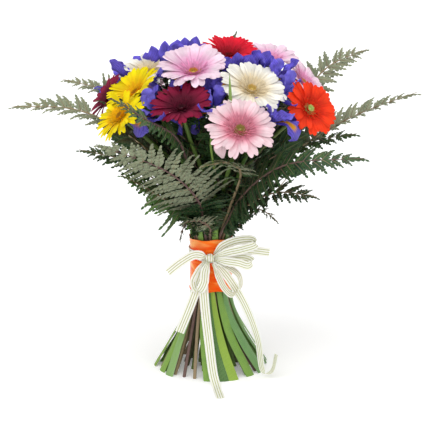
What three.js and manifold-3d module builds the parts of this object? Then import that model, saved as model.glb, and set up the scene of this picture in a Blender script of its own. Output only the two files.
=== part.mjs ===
// A hand-tied spiral bouquet that stands on its own cut stems: gerberas and Dutch irises in a low dome, a
// collar of leatherleaf fern, a satin band round the binding point and a striped ribbon tied over it in a bow.
// Millimetres, +Z up. The origin is the middle of the foot, where the central stem's cut end meets the
// surface. Azimuths are in degrees, seen from above: 0 points to -Y, the front, and 90 to +X, the right.
import * as THREE from "three";
import { mergeVertices } from "three/addons/utils/BufferGeometryUtils.js";
import Module from "manifold-3d";

const wasm = await Module();
wasm.setup();

// Driving dimensions
const TIE_Z = 151; // middle of the binding point, above the cut ends
const BAND_HEIGHT = 75;
const BAND_TOP = TIE_Z + BAND_HEIGHT / 2;
const BAND_INNER_RADIUS = 27.9;
const BAND_OUTER_RADIUS = 29.4;
const BAND_FOLD = 0.6; // how far the gathered edges of the satin stand proud
const BAND_SIDES = 20;
const STRAIGHT_HALF = 38.5; // the bundle runs straight for this far above and below the binding point
const FLARE_LENGTH = 40; // the smaller, the wider the foot
const FOOT_TWIST = 25; // degrees that the spiral turns from the binding point to the foot
const SPIRAL_LEAD = 22; // degrees that a stem stands ahead of its bloom at the binding point
const STEM_RADIUS = 3.1;
const STEM_SIDES = 4;
const LEAFY_STEM_SIDES = 5;
const STEM_TOP_TAPER = 0.82;
const STIPE_RADIUS = 2.35;
const CORE_RING = 5.5; // radii of the rings that the stems stand in at the binding point
const BUNCH_RING = 12.1;
const INNER_FERN_RING = 18;
const COLLAR_RING = 23.7;
const STRAP_RING = 26.4;
const SIDE_GAP = 0.6; // between neighbours in the collar
const STRAP_WIDTH = 8.5; // where the band holds the leaves together
const STRAP_WIDTHS = [15, 13.6, STRAP_WIDTH, STRAP_WIDTH, 7.5, 2.5]; // from the foot up
const STRAP_THICKNESS = 1.3;
const RIBBON_WIDTH = 14;
const RIBBON_THICKNESS = 0.8;
const RIBBON_RING_RADIUS = 30.9;
const CLEARANCE = 0.3; // between two pieces that would touch
const SEAT_GAP = 0.35; // between a stem's end and the bloom that it carries

const FOOT_LEVELS = [0, 58, TIE_Z - STRAIGHT_HALF, BAND_TOP + 1];

const GERBERA = {
  petals: 20,
  notch: 0.4, // where the petals part, and the rings inside it, as shares of the bloom's radius
  florets: 0.3,
  disc: 0.14,
  discRise: 0.13,
  calyxRadius: 3.2,
  calyxDepth: 9,
  cupSpread: 2.3, // how much wider than its foot the cup's rim is
  cupRimDepth: 2.2,
  thickness: 1.2,
};
const IRIS = { middle: 30, tubeRadii: [2.9, 5.4, 3.4], tubeHeights: [0, 9, 16] };

const paint = (color, roughness = 0.6) =>
  new THREE.MeshStandardMaterial({ color, roughness, metalness: 0, flatShading: true });
const MATERIALS = {
  pink: paint(0xf4a9cf),
  paleRose: paint(0xf6c3cc),
  cream: paint(0xf7f0dc),
  burgundy: paint(0x6b1526),
  yellow: paint(0xfccb05),
  scarlet: paint(0xd4102c),
  orangeRed: paint(0xf03a17),
  violet: paint(0x5a49b8),
  stem: paint(0x6d9a3a),
  strap: paint(0x5f9a45),
  fern: paint(0x3f5c38, 0.5),
  satin: paint(0xff5a12, 0.3),
  ribbon: paint(0xe9e7d2, 0.7),
};

// Each bloom: name, colour, middle of its disc, azimuth and elevation that it faces, radius, cup in degrees
const GERBERAS = [
  ["pink_top", "pink", [-23, -42, 424], -8, 62, 47, 32],
  ["rose_front", "paleRose", [38, -138, 366], 8, 46, 47, 15],
  ["cream_front", "cream", [54, -76, 408], 22, 54, 47, 18],
  ["burgundy_front", "burgundy", [-38, -98, 386], -16, 60, 42, 26],
  ["orange_right", "orangeRed", [132, -64, 380], 36, 30, 40, 14],
  ["scarlet_top", "scarlet", [24, 28, 436], 5, 72, 42, 30],
  ["yellow_upper_left", "yellow", [-100, -40, 396], -58, 52, 41, 34],
  ["white_left", "cream", [-86, 42, 412], -30, 66, 44, 22],
  ["pink_upper_right", "pink", [82, 40, 428], 40, 74, 40, 30],
  ["pink_right", "pink", [128, 40, 398], 66, 42, 41, 18],
  ["yellow_lower_left", "yellow", [-120, -84, 374], -56, 42, 40, 8],
  ["burgundy_left", "burgundy", [-140, -4, 382], -74, 32, 37, 20],
  ["yellow_back", "yellow", [92, 112, 372], 142, 34, 45, 16],
  ["orange_back", "orangeRed", [-4, 142, 370], 181, 32, 46, 14],
  ["pink_back", "pink", [-92, 110, 372], -140, 34, 46, 16],
  ["burgundy_back", "burgundy", [38, 84, 410], 158, 58, 43, 24],
  ["rose_back", "paleRose", [-38, 84, 408], -158, 58, 44, 22],
];

// Each bloom: name, its middle, azimuth and elevation that it faces, turn about its own axis, and whether its
// stem has a leaf
const IRISES = [
  ["left", [-112, 14, 414], -90, 56, 20, true],
  ["upper_left", [-70, 36, 428], -110, 74, 50, false],
  ["top", [-34, 14, 436], -60, 78, 10, false],
  ["top_right", [42, -16, 422], 40, 74, 60, false],
  ["upper_right", [84, -8, 422], 70, 62, 0, true],
  ["right", [104, -48, 408], 62, 50, 35, true],
  ["front", [5, -99, 397], 2, 48, 60, true],
  ["front_right", [87, -106, 384], 38, 44, 60, true],
  ["front_left", [-76, -94, 390], -34, 48, 15, true],
  ["back_left", [-128, 66, 378], -116, 40, 30, true],
  ["back_right", [46, 128, 388], 162, 44, 0, true],
];

// Each frond: name, stands in the collar, points where the leafy part starts, is half way and ends, greatest
// half width, pairs of pinnae, and in degrees its roll and how far its two sides fold up
const FRONDS = [
  ["far_left", true, [[-83, -40, 316], [-172, -36, 371], [-272, -30, 378]], 46, 8, -22, 20],
  ["left_behind", false, [[-96, 36, 330], [-146, 50, 370], [-209, 62, 400]], 36, 6, -30, 8],
  ["over_yellow", false, [[-44, -104, 322], [-86, -136, 368], [-128, -140, 408]], 26, 6, -35, 8],
  ["front_left_high", true, [[-14, -50, 244], [-56, -112, 304], [-148, -152, 350]], 62, 8, 56, 8],
  ["front_left_low", true, [[-23, -38, 224], [-68, -86, 268], [-118, -118, 302]], 48, 7, -34, 8],
  ["left_hanging", true, [[-26, -20, 218], [-36, -24, 210], [-44, -27, 188]], 12, 4, 0, 8],
  ["front_middle", true, [[2, -34, 208], [-14, -58, 224], [-44, -83, 226]], 22, 5, 40, 8],
  ["front_right_high", true, [[38, -54, 252], [96, -108, 312], [203, -130, 327]], 54, 8, 36, 8],
  ["front_right_low", true, [[42, -38, 234], [88, -76, 268], [142, -102, 268]], 42, 6, 28, 8],
  ["right_hanging", true, [[40, -16, 208], [67, -30, 233], [92, -42, 219]], 15, 5, 20, 8],
  ["far_right", true, [[104, -14, 304], [188, -22, 358], [280, -28, 397]], 42, 8, 20, 26],
  ["upper_right", true, [[102, 72, 330], [164, 90, 411], [222, 94, 438]], 40, 6, 40, 8],
  ["top", false, [[4, 52, 396], [18, 60, 436], [36, 66, 464]], 14, 5, 90, 8],
  ["front_centre", false, [[40, -84, 272], [22, -128, 308], [-14, -164, 322]], 26, 6, 0, 8],
  ["right_side", true, [[62, 14, 244], [126, 18, 310], [204, 22, 330]], 44, 7, 30, 8],
  ["back_right_low", true, [[40, 44, 250], [92, 96, 304], [166, 142, 330]], 46, 7, 0, 8],
  ["back_low", true, [[-6, 52, 246], [-16, 118, 304], [-30, 202, 330]], 48, 7, 0, 8],
  ["back_left_low", true, [[-46, 38, 250], [-106, 90, 306], [-178, 132, 336]], 46, 7, 0, 8],
  ["back_high", false, [[36, 108, 296], [70, 164, 340], [84, 226, 380]], 34, 6, 0, 8],
  ["left_side", true, [[-58, 6, 256], [-112, 4, 296], [-184, 8, 310]], 42, 7, -30, 8],
];

// The bow: where its tails and loops pass, from the knot outwards, and which way each strip's width points
const KNOT = [-1, -34.8, 165];
const KNOT_SIZE = [9, 4.5, 8.5];
// Each tail: the way that its width points at the knot and at its end, and the points that it passes
const TAILS = [
  {
    from: [1, 0, 0],
    to: [1, 0.1, 0],
    points: [
      [-4, -36, 160], [-10, -38, 132], [-9, -43, 104], [-3, -62, 54],
      [3, -80, 12], [7, -97, 1.8], [13, -146, 1],
    ],
  },
  {
    from: [0.8, 0, -0.6],
    to: [0.8, 0, -0.6],
    points: [[-6, -36, 161], [-15, -38, 136], [-28, -41, 100], [-44, -44, 60]],
  },
  {
    from: [0, 0, 1],
    to: [-0.5, 0, 0.85],
    points: [[-7, -35, 167], [-22, -36, 170], [-40, -38, 161], [-60, -38, 145]],
  },
  {
    from: [0, 0, 1],
    to: [0, 0, 1],
    points: [[5, -35, 167], [24, -38, 173], [47, -41, 178], [81, -38, 174]],
  },
  {
    from: [0.8, 0, 0.6],
    to: [0.3, -1, 0],
    points: [
      [5, -36, 161], [24, -39, 138], [47, -43, 100], [65, -54, 54],
      [74, -64, 8], [84, -66, 10], [91, -62, 34],
    ],
  },
];
// Each loop: the way that its width points, and the points that it passes
const LOOPS = [
  {
    across: [-0.2, 0, 1],
    points: [
      [5, -34, 170], [16, -36, 182], [36, -38, 191], [58, -42, 193],
      [62, -46, 188], [44, -46, 181], [22, -43, 175], [5, -39, 168],
    ],
  },
  {
    across: [0.6, 0.75, 0.3],
    points: [
      [3, -38, 158], [12, -43, 142], [21, -47, 126], [29, -46, 118],
      [38, -43, 125], [36, -41, 140], [20, -38, 152], [4, -35, 160],
    ],
  },
  {
    across: [0.2, 0, 1],
    points: [
      [6, -34, 163], [30, -38, 166], [47, -41, 167], [57, -45, 163],
      [52, -49, 158], [38, -47, 161], [20, -44, 163], [6, -38, 164],
    ],
  },
  {
    across: [1, 0, -0.3],
    points: [
      [-6, -34, 162], [-16, -37, 146], [-23, -39, 130], [-17, -43, 120],
      [-10, -46, 132], [-8, -43, 148], [-4, -39, 160],
    ],
  },
];
const BOW_STEPS = 7; // stretches along a loop
const WRAP_SIDES = 16;
const RIBBON_ROOT_WIDTHS = [5, 10]; // gathered where it enters the knot

const V = (x, y, z) => new THREE.Vector3(x, y, z);
const point = (list) => V(...list);
const UP = V(0, 0, 1);
const radians = THREE.MathUtils.degToRad;
const degrees = THREE.MathUtils.radToDeg;
const turned = (v, axis, angle) => v.clone().applyAxisAngle(axis, radians(angle));
const azimuthOf = (p) => degrees(Math.atan2(p.x, -p.y));

function direction(azimuth, elevation = 0) {
  const [a, e] = [radians(azimuth), radians(elevation)];
  return V(Math.sin(a) * Math.cos(e), -Math.cos(a) * Math.cos(e), Math.sin(e));
}

// A repeatable spread of values between -1 and 1, one for each pair of whole numbers.
function vary(i, j = 0) {
  const s = Math.sin(i * 12.9898 + j * 78.233) * 43758.5453;
  return 2 * (s - Math.floor(s)) - 1;
}

// Solids

function geometry(points, faces) {
  const made = new THREE.BufferGeometry();
  made.setAttribute("position", new THREE.Float32BufferAttribute(points.flatMap((p) => [p.x, p.y, p.z]), 3));
  made.setIndex(faces.flat());
  return made;
}

function solid(shape) {
  const bare = new THREE.BufferGeometry();
  bare.setAttribute("position", shape.getAttribute("position").clone());
  if (shape.index) bare.setIndex(shape.index.clone());
  const merged = mergeVertices(bare, 1e-4);
  return new wasm.Manifold(
    new wasm.Mesh({
      numProp: 3,
      vertProperties: new Float32Array(merged.attributes.position.array),
      triVerts: new Uint32Array(merged.index.array),
    }),
  );
}

const joined = (solids) => solids.reduce((whole, next) => whole.add(next));

function meshOf(name, body, material) {
  const { numProp, vertProperties, triVerts } = body.getMesh();
  const points = [];
  for (let i = 0; i < vertProperties.length; i += numProp)
    points.push(V(vertProperties[i], vertProperties[i + 1], vertProperties[i + 2]));
  const mesh = new THREE.Mesh(geometry(points, [Array.from(triVerts)]), material);
  mesh.name = name;
  return mesh;
}

// A leaf or petal: a rim that both faces share, and inner points lifted on the upper face and lowered on the
// lower one. The faces are lists of three indices, anticlockwise from above, inner points after the rim.
function plateParts(rim, inner, faces) {
  const upper = inner.map(({ at, half }) => at.clone().add(half));
  const lower = inner.map(({ at, half }) => at.clone().sub(half));
  const under = (i) => (i < rim.length ? i : i + inner.length);
  const below = faces.map(([a, b, c]) => [under(a), under(c), under(b)]);
  return { points: [...rim, ...upper, ...lower], faces: [...faces, ...below], under };
}

function plate(rim, inner, faces) {
  const parts = plateParts(rim, inner, faces);
  return geometry(parts.points, parts.faces);
}

// The faces between rings of points that are given by their indices.
function between(rings) {
  const faces = [];
  for (let s = 1; s < rings.length; s++)
    rings[s].forEach((beyond, k) => {
      const next = (k + 1) % rings[s].length;
      const [from, fromNext] = [rings[s - 1][k], rings[s - 1][next]];
      faces.push([from, fromNext, rings[s][next]], [from, rings[s][next], beyond]);
    });
  return faces;
}

const cap = (ring) => ring.slice(1, -1).map((_, k) => [ring[0], ring[k + 1], ring[k + 2]]);

// A skin stretched over sections that all have the same number of points, with flat ends or joined in a loop.
function skin(sections, loop = false) {
  const rings = sections.map((section, s) => section.map((_, k) => s * section.length + k));
  const ends = loop ? [] : [...cap([...rings[0]].reverse()), ...cap(rings[rings.length - 1])];
  return geometry(sections.flat(), [...between(loop ? [...rings, rings[0]] : rings), ...ends]);
}

// The way a path runs at one of its points. A stem's end on the surface is cut level.
function aheadAt(points, i) {
  if (points[i].z === 0) return UP.clone();
  return points[Math.min(i + 1, points.length - 1)].clone().sub(points[Math.max(i - 1, 0)]).normalize();
}

// A round stalk along the points. Its first corner lies on the side given.
function stalk(points, radiusAt, sides, side) {
  let reference = side.clone();
  return skin(
    points.map((middle, i) => {
      const ahead = aheadAt(points, i);
      reference = reference.clone().addScaledVector(ahead, -reference.dot(ahead)).normalize();
      const other = ahead.clone().cross(reference);
      return Array.from({ length: sides }, (_, k) => {
        const angle = (2 * Math.PI * k) / sides;
        return middle
          .clone()
          .addScaledVector(reference, Math.cos(angle) * radiusAt(i))
          .addScaledVector(other, Math.sin(angle) * radiusAt(i));
      });
    }),
  );
}

// A flat strip along the points, with its width across them.
function strip(points, acrossAt, widthAt, thickness, loop = false) {
  const count = points.length;
  return skin(
    points.map((middle, i) => {
      const ahead = loop
        ? points[(i + 1) % count].clone().sub(points[(i + count - 1) % count]).normalize()
        : aheadAt(points, i);
      const across = acrossAt(i).clone();
      across.addScaledVector(ahead, -across.dot(ahead)).normalize();
      const through = ahead.clone().cross(across);
      const corner = (a, b) =>
        middle
          .clone()
          .addScaledVector(across, (a * widthAt(i)) / 2)
          .addScaledVector(through, (b * thickness) / 2);
      return [corner(-1, -1), corner(1, -1), corner(1, 1), corner(-1, 1)];
    }),
    loop,
  );
}

// What is already in place. A new stem, petal or pinna is bent until it is clear of all that isn't its own.
const placed = [];

function place(owner, body) {
  placed.push({ owner, body, box: body.boundingBox() });
  return body;
}

function isClear(owner, body) {
  const box = body.boundingBox();
  return placed.every((other) => {
    if (other.owner === owner) return true;
    const apart = [0, 1, 2].some(
      (k) => box.min[k] > other.box.max[k] + CLEARANCE || box.max[k] < other.box.min[k] - CLEARANCE,
    );
    return apart || body.minGap(other.body, CLEARANCE) >= CLEARANCE;
  });
}

// The first of the options whose shape is clear, or else the last one. It is placed as the owner's, or as a
// piece that the owner's other pieces stay clear of too.
function settle(owner, options, make, piece = owner) {
  const clear = options.find((option) => isClear(owner, solid(make(option))));
  const found = clear ?? options[options.length - 1];
  place(piece, solid(make(found)));
  return found;
}

const everyPair = (outer, inner) => outer.flatMap((a) => inner.map((b) => [a, b]));

// Stems

// How much wider than at the binding point the bundle is at height z.
function spread(z) {
  const beyond = Math.max(0, Math.abs(z - TIE_Z) - STRAIGHT_HALF);
  return Math.hypot(1, beyond / FLARE_LENGTH);
}

const spiralAzimuth = (azimuth, z) => azimuth + (FOOT_TWIST * (TIE_Z - z)) / TIE_Z;
const spiral = (radius, azimuth, z) =>
  direction(spiralAzimuth(azimuth, z))
    .multiplyScalar(radius * spread(z))
    .setZ(z);

// Hands out azimuths side by side round a ring, in the order of where the stems are going. Each item has the
// azimuth that it wants and the width that it takes, and the whole ring is turned to suit them best.
function sideBySide(items, radius) {
  const sorted = [...items].sort((a, b) => a.wants - b.wants);
  const spare = (2 * Math.PI * radius - sorted.reduce((sum, item) => sum + item.width, 0)) / sorted.length;
  let edge = 0;
  sorted.forEach((item) => {
    item.azimuth = degrees((edge + (item.width + spare) / 2) / radius);
    edge += item.width + spare;
  });
  const away = sorted.map((item) => radians(item.wants - item.azimuth));
  const sum = (list) => list.reduce((total, value) => total + value, 0);
  const turn = degrees(Math.atan2(sum(away.map(Math.sin)), sum(away.map(Math.cos))));
  sorted.forEach((item) => (item.azimuth += turn));
}

const footPath = (radius, azimuth) => FOOT_LEVELS.map((z) => spiral(radius, azimuth, z));

// The free part of a stem, from the top of the band to its end, where it runs straight for the last stretch.
function upperPath(start, azimuth, end, facing, [pull, [lean, swing]]) {
  const neck = end.clone().addScaledVector(facing, -6);
  const reach = start.distanceTo(neck);
  const rise = UP.clone()
    .addScaledVector(direction(azimuth + swing), lean)
    .normalize();
  const curve = new THREE.CubicBezierCurve3(
    start,
    start.clone().addScaledVector(rise, reach * pull),
    neck.clone().addScaledVector(facing, -reach * 0.3),
    neck,
  );
  return [...curve.getPoints(4), end];
}

const STEM_LEANS = everyPair([0.12, 0.3, 0.5, -0.1], [0, 25, -25, 60, -60, 120, 180]);
const STEM_ROUTES = everyPair([0.42, 0.28, 0.56], STEM_LEANS);

// A whole stem from its cut foot to its bloom, led round those that already stand.
function flowerStem(owner, radius, azimuth, end, facing, sides) {
  const foot = footPath(radius, azimuth);
  const side = direction(azimuth + 90);
  const start = foot[foot.length - 1];
  const thin = (i, count) => STEM_RADIUS * THREE.MathUtils.lerp(1, STEM_TOP_TAPER, i / count);
  const upper = (route) => {
    const points = upperPath(start, azimuth, end, facing, route);
    return stalk(points, (i) => thin(i, points.length - 1), sides, side);
  };
  const free = upperPath(start, azimuth, end, facing, settle(owner, STEM_ROUTES, upper)).slice(1);
  const points = [...foot, ...free];
  const radiusAt = (i) => thin(Math.max(0, i - foot.length + 1), free.length);
  return { points, body: solid(stalk(points, radiusAt, sides, side)) };
}

// The long leaf that sheathes an iris stem, from the foot to a point above the band.
function strapLeaf(azimuth, stemPoints) {
  const foot = footPath(STRAP_RING, azimuth);
  const outwards = direction(azimuth - 10).multiplyScalar(STRAP_RING - COLLAR_RING);
  const free = stemPoints.slice(foot.length, foot.length + 2).map((p) => p.clone().add(outwards));
  const points = [...foot, ...free];
  const across = (i) => direction(spiralAzimuth(azimuth, points[i].z) + 90);
  return solid(strip(points, across, (i) => STRAP_WIDTHS[i], STRAP_THICKNESS));
}

// Gerberas

// The frame of one bloom: points by distance out, angle and height, the bowl that its petals rise in, and the
// points of each petal. Every other petal is shorter and lies higher, so they form two layers.
function gerberaFrame(index, centre, facing, radius, cup) {
  const { petals, notch } = GERBERA;
  const x = UP.clone().cross(facing).normalize();
  const y = facing.clone().cross(x);
  const half = Math.PI / petals;
  const at = (r, angle, z) =>
    centre
      .clone()
      .addScaledVector(x, r * Math.cos(angle))
      .addScaledVector(y, r * Math.sin(angle))
      .addScaledVector(facing, z);
  const bowl = (r) => Math.tan(radians(cup)) * r * (1 - (0.42 * r) / radius);
  const notchRadius = notch * radius;
  const notchAt = (k) => at(notchRadius, (2 * k - 1) * half, bowl(notchRadius));
  function petal(k, [scale, lift]) {
    const upper = k % 2 === 1;
    const whole = radius * (upper ? 0.9 : 1) * (1 + 0.04 * vary(k, index));
    const length = notchRadius + (whole - notchRadius) * scale;
    const bend = radians(lift + (upper ? 7 : -3) + 3 * vary(k, index + 50));
    const petalPoint = (share, swing) => {
      const r = notchRadius + (length - notchRadius) * share;
      const out = r - notchRadius;
      const sweep = half * Math.min(0.92, (0.72 * radius) / r) * swing;
      return at(notchRadius + out * Math.cos(bend), 2 * k * half + sweep, bowl(r) + out * Math.sin(bend));
    };
    const tip = petalPoint(1, 0);
    const rib = petalPoint(0.4, 0);
    const width = notchAt(k + 1).sub(notchAt(k));
    const thick = tip.clone().sub(notchAt(k)).cross(width).normalize();
    thick.multiplyScalar(GERBERA.thickness / 2);
    return { low: petalPoint(0.76, -1), tip, high: petalPoint(0.76, 1), rib, thick };
  }
  const rise = GERBERA.discRise * radius;
  const crownAt = (k) => {
    const r = radius * GERBERA.florets * (k % 2 ? 0.86 : 1.12);
    return at(r, 2 * k * half, bowl(r) + rise * (k % 2 ? 0.25 : 1));
  };
  const cupAt = (k) => at(GERBERA.calyxRadius * GERBERA.cupSpread, (4 * k + 1) * half, -GERBERA.cupRimDepth);
  return { radius, half, at, bowl, rise, notchAt, crownAt, cupAt, petal };
}

// A petal by itself with its share of the disc and the cup, to find where it is clear.
function petalWedge({ petal, notchAt, crownAt, cupAt }, k, bend) {
  const { low, tip, high, rib, thick } = petal(k, bend);
  const rim = [notchAt(k), low, tip, high, notchAt(k + 1)];
  const middle = [rib.clone().add(thick), rib.clone().sub(thick)];
  const points = [...rim, ...middle, crownAt(k), cupAt(Math.floor(k / 2))];
  const [from, to, above, below, crown, cup] = [0, 4, 5, 6, 7, 8];
  const edge = [0, 1, 2, 3].flatMap((i) => [[above, i, i + 1], [below, i + 1, i]]);
  const root = [[above, to, crown], [above, crown, from], [below, from, cup], [below, cup, to]];
  return geometry(points, [...edge, ...root, [from, crown, cup], [crown, to, cup]]);
}

// The middle of a bloom by itself: the disc and the cup under it.
function gerberaHeart({ radius, half, at, bowl }) {
  const { notch, florets, discRise, calyxRadius, calyxDepth, cupSpread, cupRimDepth } = GERBERA;
  const rings = [
    [calyxRadius, -calyxDepth],
    [calyxRadius * cupSpread, -cupRimDepth],
    [notch * radius, bowl(notch * radius)],
    [florets * 1.12 * radius, bowl(florets * radius) + discRise * radius],
  ];
  return skin(rings.map(([r, z]) => Array.from({ length: 10 }, (_, k) => at(r, (4 * k + 1) * half, z))));
}

// One bloom as a single closed surface: two layers of ray petals round the disc, a crown of short inner
// florets that stand up, the raised disc inside it, and the green cup that narrows to the stem.
function gerbera(frame, bends) {
  const { petals, disc, calyxRadius, calyxDepth } = GERBERA;
  const { radius, half, at, bowl, rise, notchAt, crownAt, cupAt, petal } = frame;
  const points = [];
  const faces = [];
  const add = (p) => points.push(p) - 1;
  const ring = (count, make) => Array.from({ length: count }, (_, k) => add(make(k)));
  const notches = ring(petals, notchAt);
  const crown = ring(petals, crownAt);
  const discHeight = bowl(radius * disc) + rise * 0.2;
  const discRim = ring(petals / 2, (k) => at(radius * disc, (4 * k + 1) * half, discHeight));
  const discTop = add(at(0, 0, rise * 0.9));
  const cupRim = ring(petals / 2, cupAt);
  const cupFoot = ring(petals / 4, (k) => at(calyxRadius, (8 * k + 3) * half, -calyxDepth));
  for (let k = 0; k < petals; k++) {
    const { low, tip, high, rib, thick } = petal(k, bends[k]);
    const [from, to] = [notches[k], notches[(k + 1) % petals]];
    const edge = [from, add(low), add(tip), add(high), to];
    const above = add(rib.clone().add(thick));
    const below = add(rib.clone().sub(thick));
    const outer = Math.floor(k / 2);
    const nextOuter = (outer + 1) % (petals / 2);
    const nextCrown = crown[(k + 1) % petals];
    for (let i = 0; i < 4; i++) faces.push([above, edge[i], edge[i + 1]], [below, edge[i + 1], edge[i]]);
    faces.push([above, to, crown[k]], [above, crown[k], from], [crown[k], to, nextCrown]);
    faces.push([below, from, cupRim[outer]], [below, cupRim[outer], to]);
    faces.push([crown[k], nextCrown, discRim[outer]]);
    if (k % 2) {
      faces.push([nextCrown, discRim[nextOuter], discRim[outer]]);
      faces.push([to, cupRim[outer], cupRim[nextOuter]]);
    }
  }
  for (let k = 0; k < petals / 2; k++) {
    const next = (k + 1) % (petals / 2);
    const foot = Math.floor(k / 2);
    faces.push([discRim[k], discRim[next], discTop], [cupRim[next], cupRim[k], cupFoot[foot]]);
    if (k % 2) faces.push([cupRim[next], cupFoot[foot], cupFoot[(foot + 1) % cupFoot.length]]);
  }
  for (let k = 1; k < cupFoot.length - 1; k++) faces.push([cupFoot[0], cupFoot[k + 1], cupFoot[k]]);
  return geometry(points, faces);
}

const PETAL_BENDS = everyPair([1, 0.8, 0.62, 0.45, 0.3, 0.15], [0, 9, -9, 18, -18, 28, -28, 38, 50, 62, 75]);

// Irises

// A blade through its stations, each [distance out, height, half width], and ending in a point.
function irisBlade(stations, base, x, z, thickness) {
  const across = z.clone().cross(x);
  const at = ([out, height]) => base.clone().addScaledVector(x, out).addScaledVector(z, height);
  const body = stations.slice(0, -1);
  const n = body.length;
  const rim = [
    ...body.map((station) => at(station).addScaledVector(across, -station[2])),
    at(stations[n]),
    ...[...body].reverse().map((station) => at(station).addScaledVector(across, station[2])),
  ];
  const inner = body.map((station, i) => {
    const ahead = at(stations[i + 1]).sub(at(station)).normalize();
    return { at: at(station), half: ahead.cross(across).multiplyScalar(thickness / 2) };
  });
  const right = (i) => 2 * n - i;
  const rib = (i) => rim.length + i;
  const faces = [[right(0), 0, rib(0)], [rib(n - 1), n - 1, n], [rib(n - 1), n, right(n - 1)]];
  for (let i = 0; i < n - 1; i++) {
    faces.push([rib(i), i, i + 1], [rib(i), i + 1, rib(i + 1)]);
    faces.push([rib(i), rib(i + 1), right(i + 1)], [rib(i), right(i + 1), right(i)]);
  }
  return plate(rim, inner, faces);
}

const IRIS_WHORLS = [
  // Style arms, which lie over the falls
  { turn: 0, thickness: 1.4, stations: [[1.8, 13.5, 1], [12, 33, 6.5], [20, 45, 0]] },
  // Standards, upright
  { turn: 60, thickness: 1.4, stations: [[3, 8, 1.2], [13, 42, 8.5], [15, 63, 0]] },
  // Falls, which arch out and turn down at the tip
  { turn: 0, thickness: 1.6, stations: [[3, 7, 1.2], [18, 26, 6], [33, 27, 14], [44, 14, 0]] },
];
const BLADE_SCALES = [1, 0.84, 0.7, 0.55, 0.4, 0.25];
const BLADE_BENDS = everyPair(BLADE_SCALES, [0, -12, 12, -24, 24, -36, 36, -50, 50, 64, 78]);

function irisTube(base, facing) {
  const points = IRIS.tubeHeights.map((height) => base.clone().addScaledVector(facing, height));
  return stalk(points, (i) => IRIS.tubeRadii[i], 5, UP.clone().cross(facing).normalize());
}

// One bloom: three whorls of three blades that leave the tube, each bent at its root until it is clear.
function iris(owner, base, facing, turn) {
  const out = UP.clone().cross(facing).normalize();
  const blades = IRIS_WHORLS.flatMap(({ turn: shift, thickness, stations }, whorl) =>
    [0, 120, 240].map((step) => {
      const x = turned(out, facing, turn + shift + step);
      const across = facing.clone().cross(x);
      const [[out0, height0]] = stations;
      const root = base.clone().addScaledVector(x, out0).addScaledVector(facing, height0);
      const make = ([scale, bend]) => {
        const grown = stations.map(([a, b, half]) => [a - out0, b - height0, half].map((far) => far * scale));
        return irisBlade(grown, root, turned(x, across, bend), turned(facing, across, bend), thickness);
      };
      return solid(make(settle(owner, BLADE_BENDS, make, `${owner}_${whorl}_${step}`)));
    }),
  );
  return joined([solid(irisTube(base, facing)), ...blades]);
}

// Ferns

const RACHIS_HALF_WIDTH = 1.6;
const RACHIS_HALF_THICKNESS = 1;
const PINNA_THICKNESS = 1;
const FROND_SWINGS = everyPair([0, 6, -6, 12, -12, 20, -20, 30, -30, 45, -45], [0, -12, 12, -25, 25]);
const FROND_ROUTES = everyPair([1, 0.5, 0.1], FROND_SWINGS);
const PINNA_BENDS = everyPair([1, 0.8, 0.62, 0.45, 0.3, 0.15], [0, -14, 14, -28, 28, -44, 44, -62, 62]);
const LEAF_START = 0.6; // share of the line where the pinnae begin
const STIPE_STATIONS = [0.2, 0.34, 0.48];
const STIPE_TAPER = 0.07; // share of its radius that it loses from one station to the next
const PINNA_SLANTS = [18, 52]; // degrees from square to the rachis, at the base and at the tip
const PINNA_DROOP = 0.16;
const PINNA_TAPER = 0.62; // the smaller, the fuller the frond stays towards its tip

// The line of one frond: its stipe up through the binding point, and the rachis that carries the pinnae.
// Where something is in the way, it first rises steeper, and its lower half is swung round the bouquet and
// raised.
function frondLine(foot, points, [steep, [swing, raise]]) {
  const [below, start] = foot.slice(-2);
  const moved = (p, share) => turned(p, UP, swing * share).add(V(0, 0, raise * share));
  const [neck, middle, tip] = points.map(point);
  const low = moved(neck, 1);
  const risen = start.clone().lerp(low, 0.45 * steep).setZ(THREE.MathUtils.lerp(start.z, low.z, 0.45));
  const curve = new THREE.CatmullRomCurve3([below, start, risen, low, moved(middle, 0.5), tip]);
  return (u) => curve.getPoint(u);
}

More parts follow.
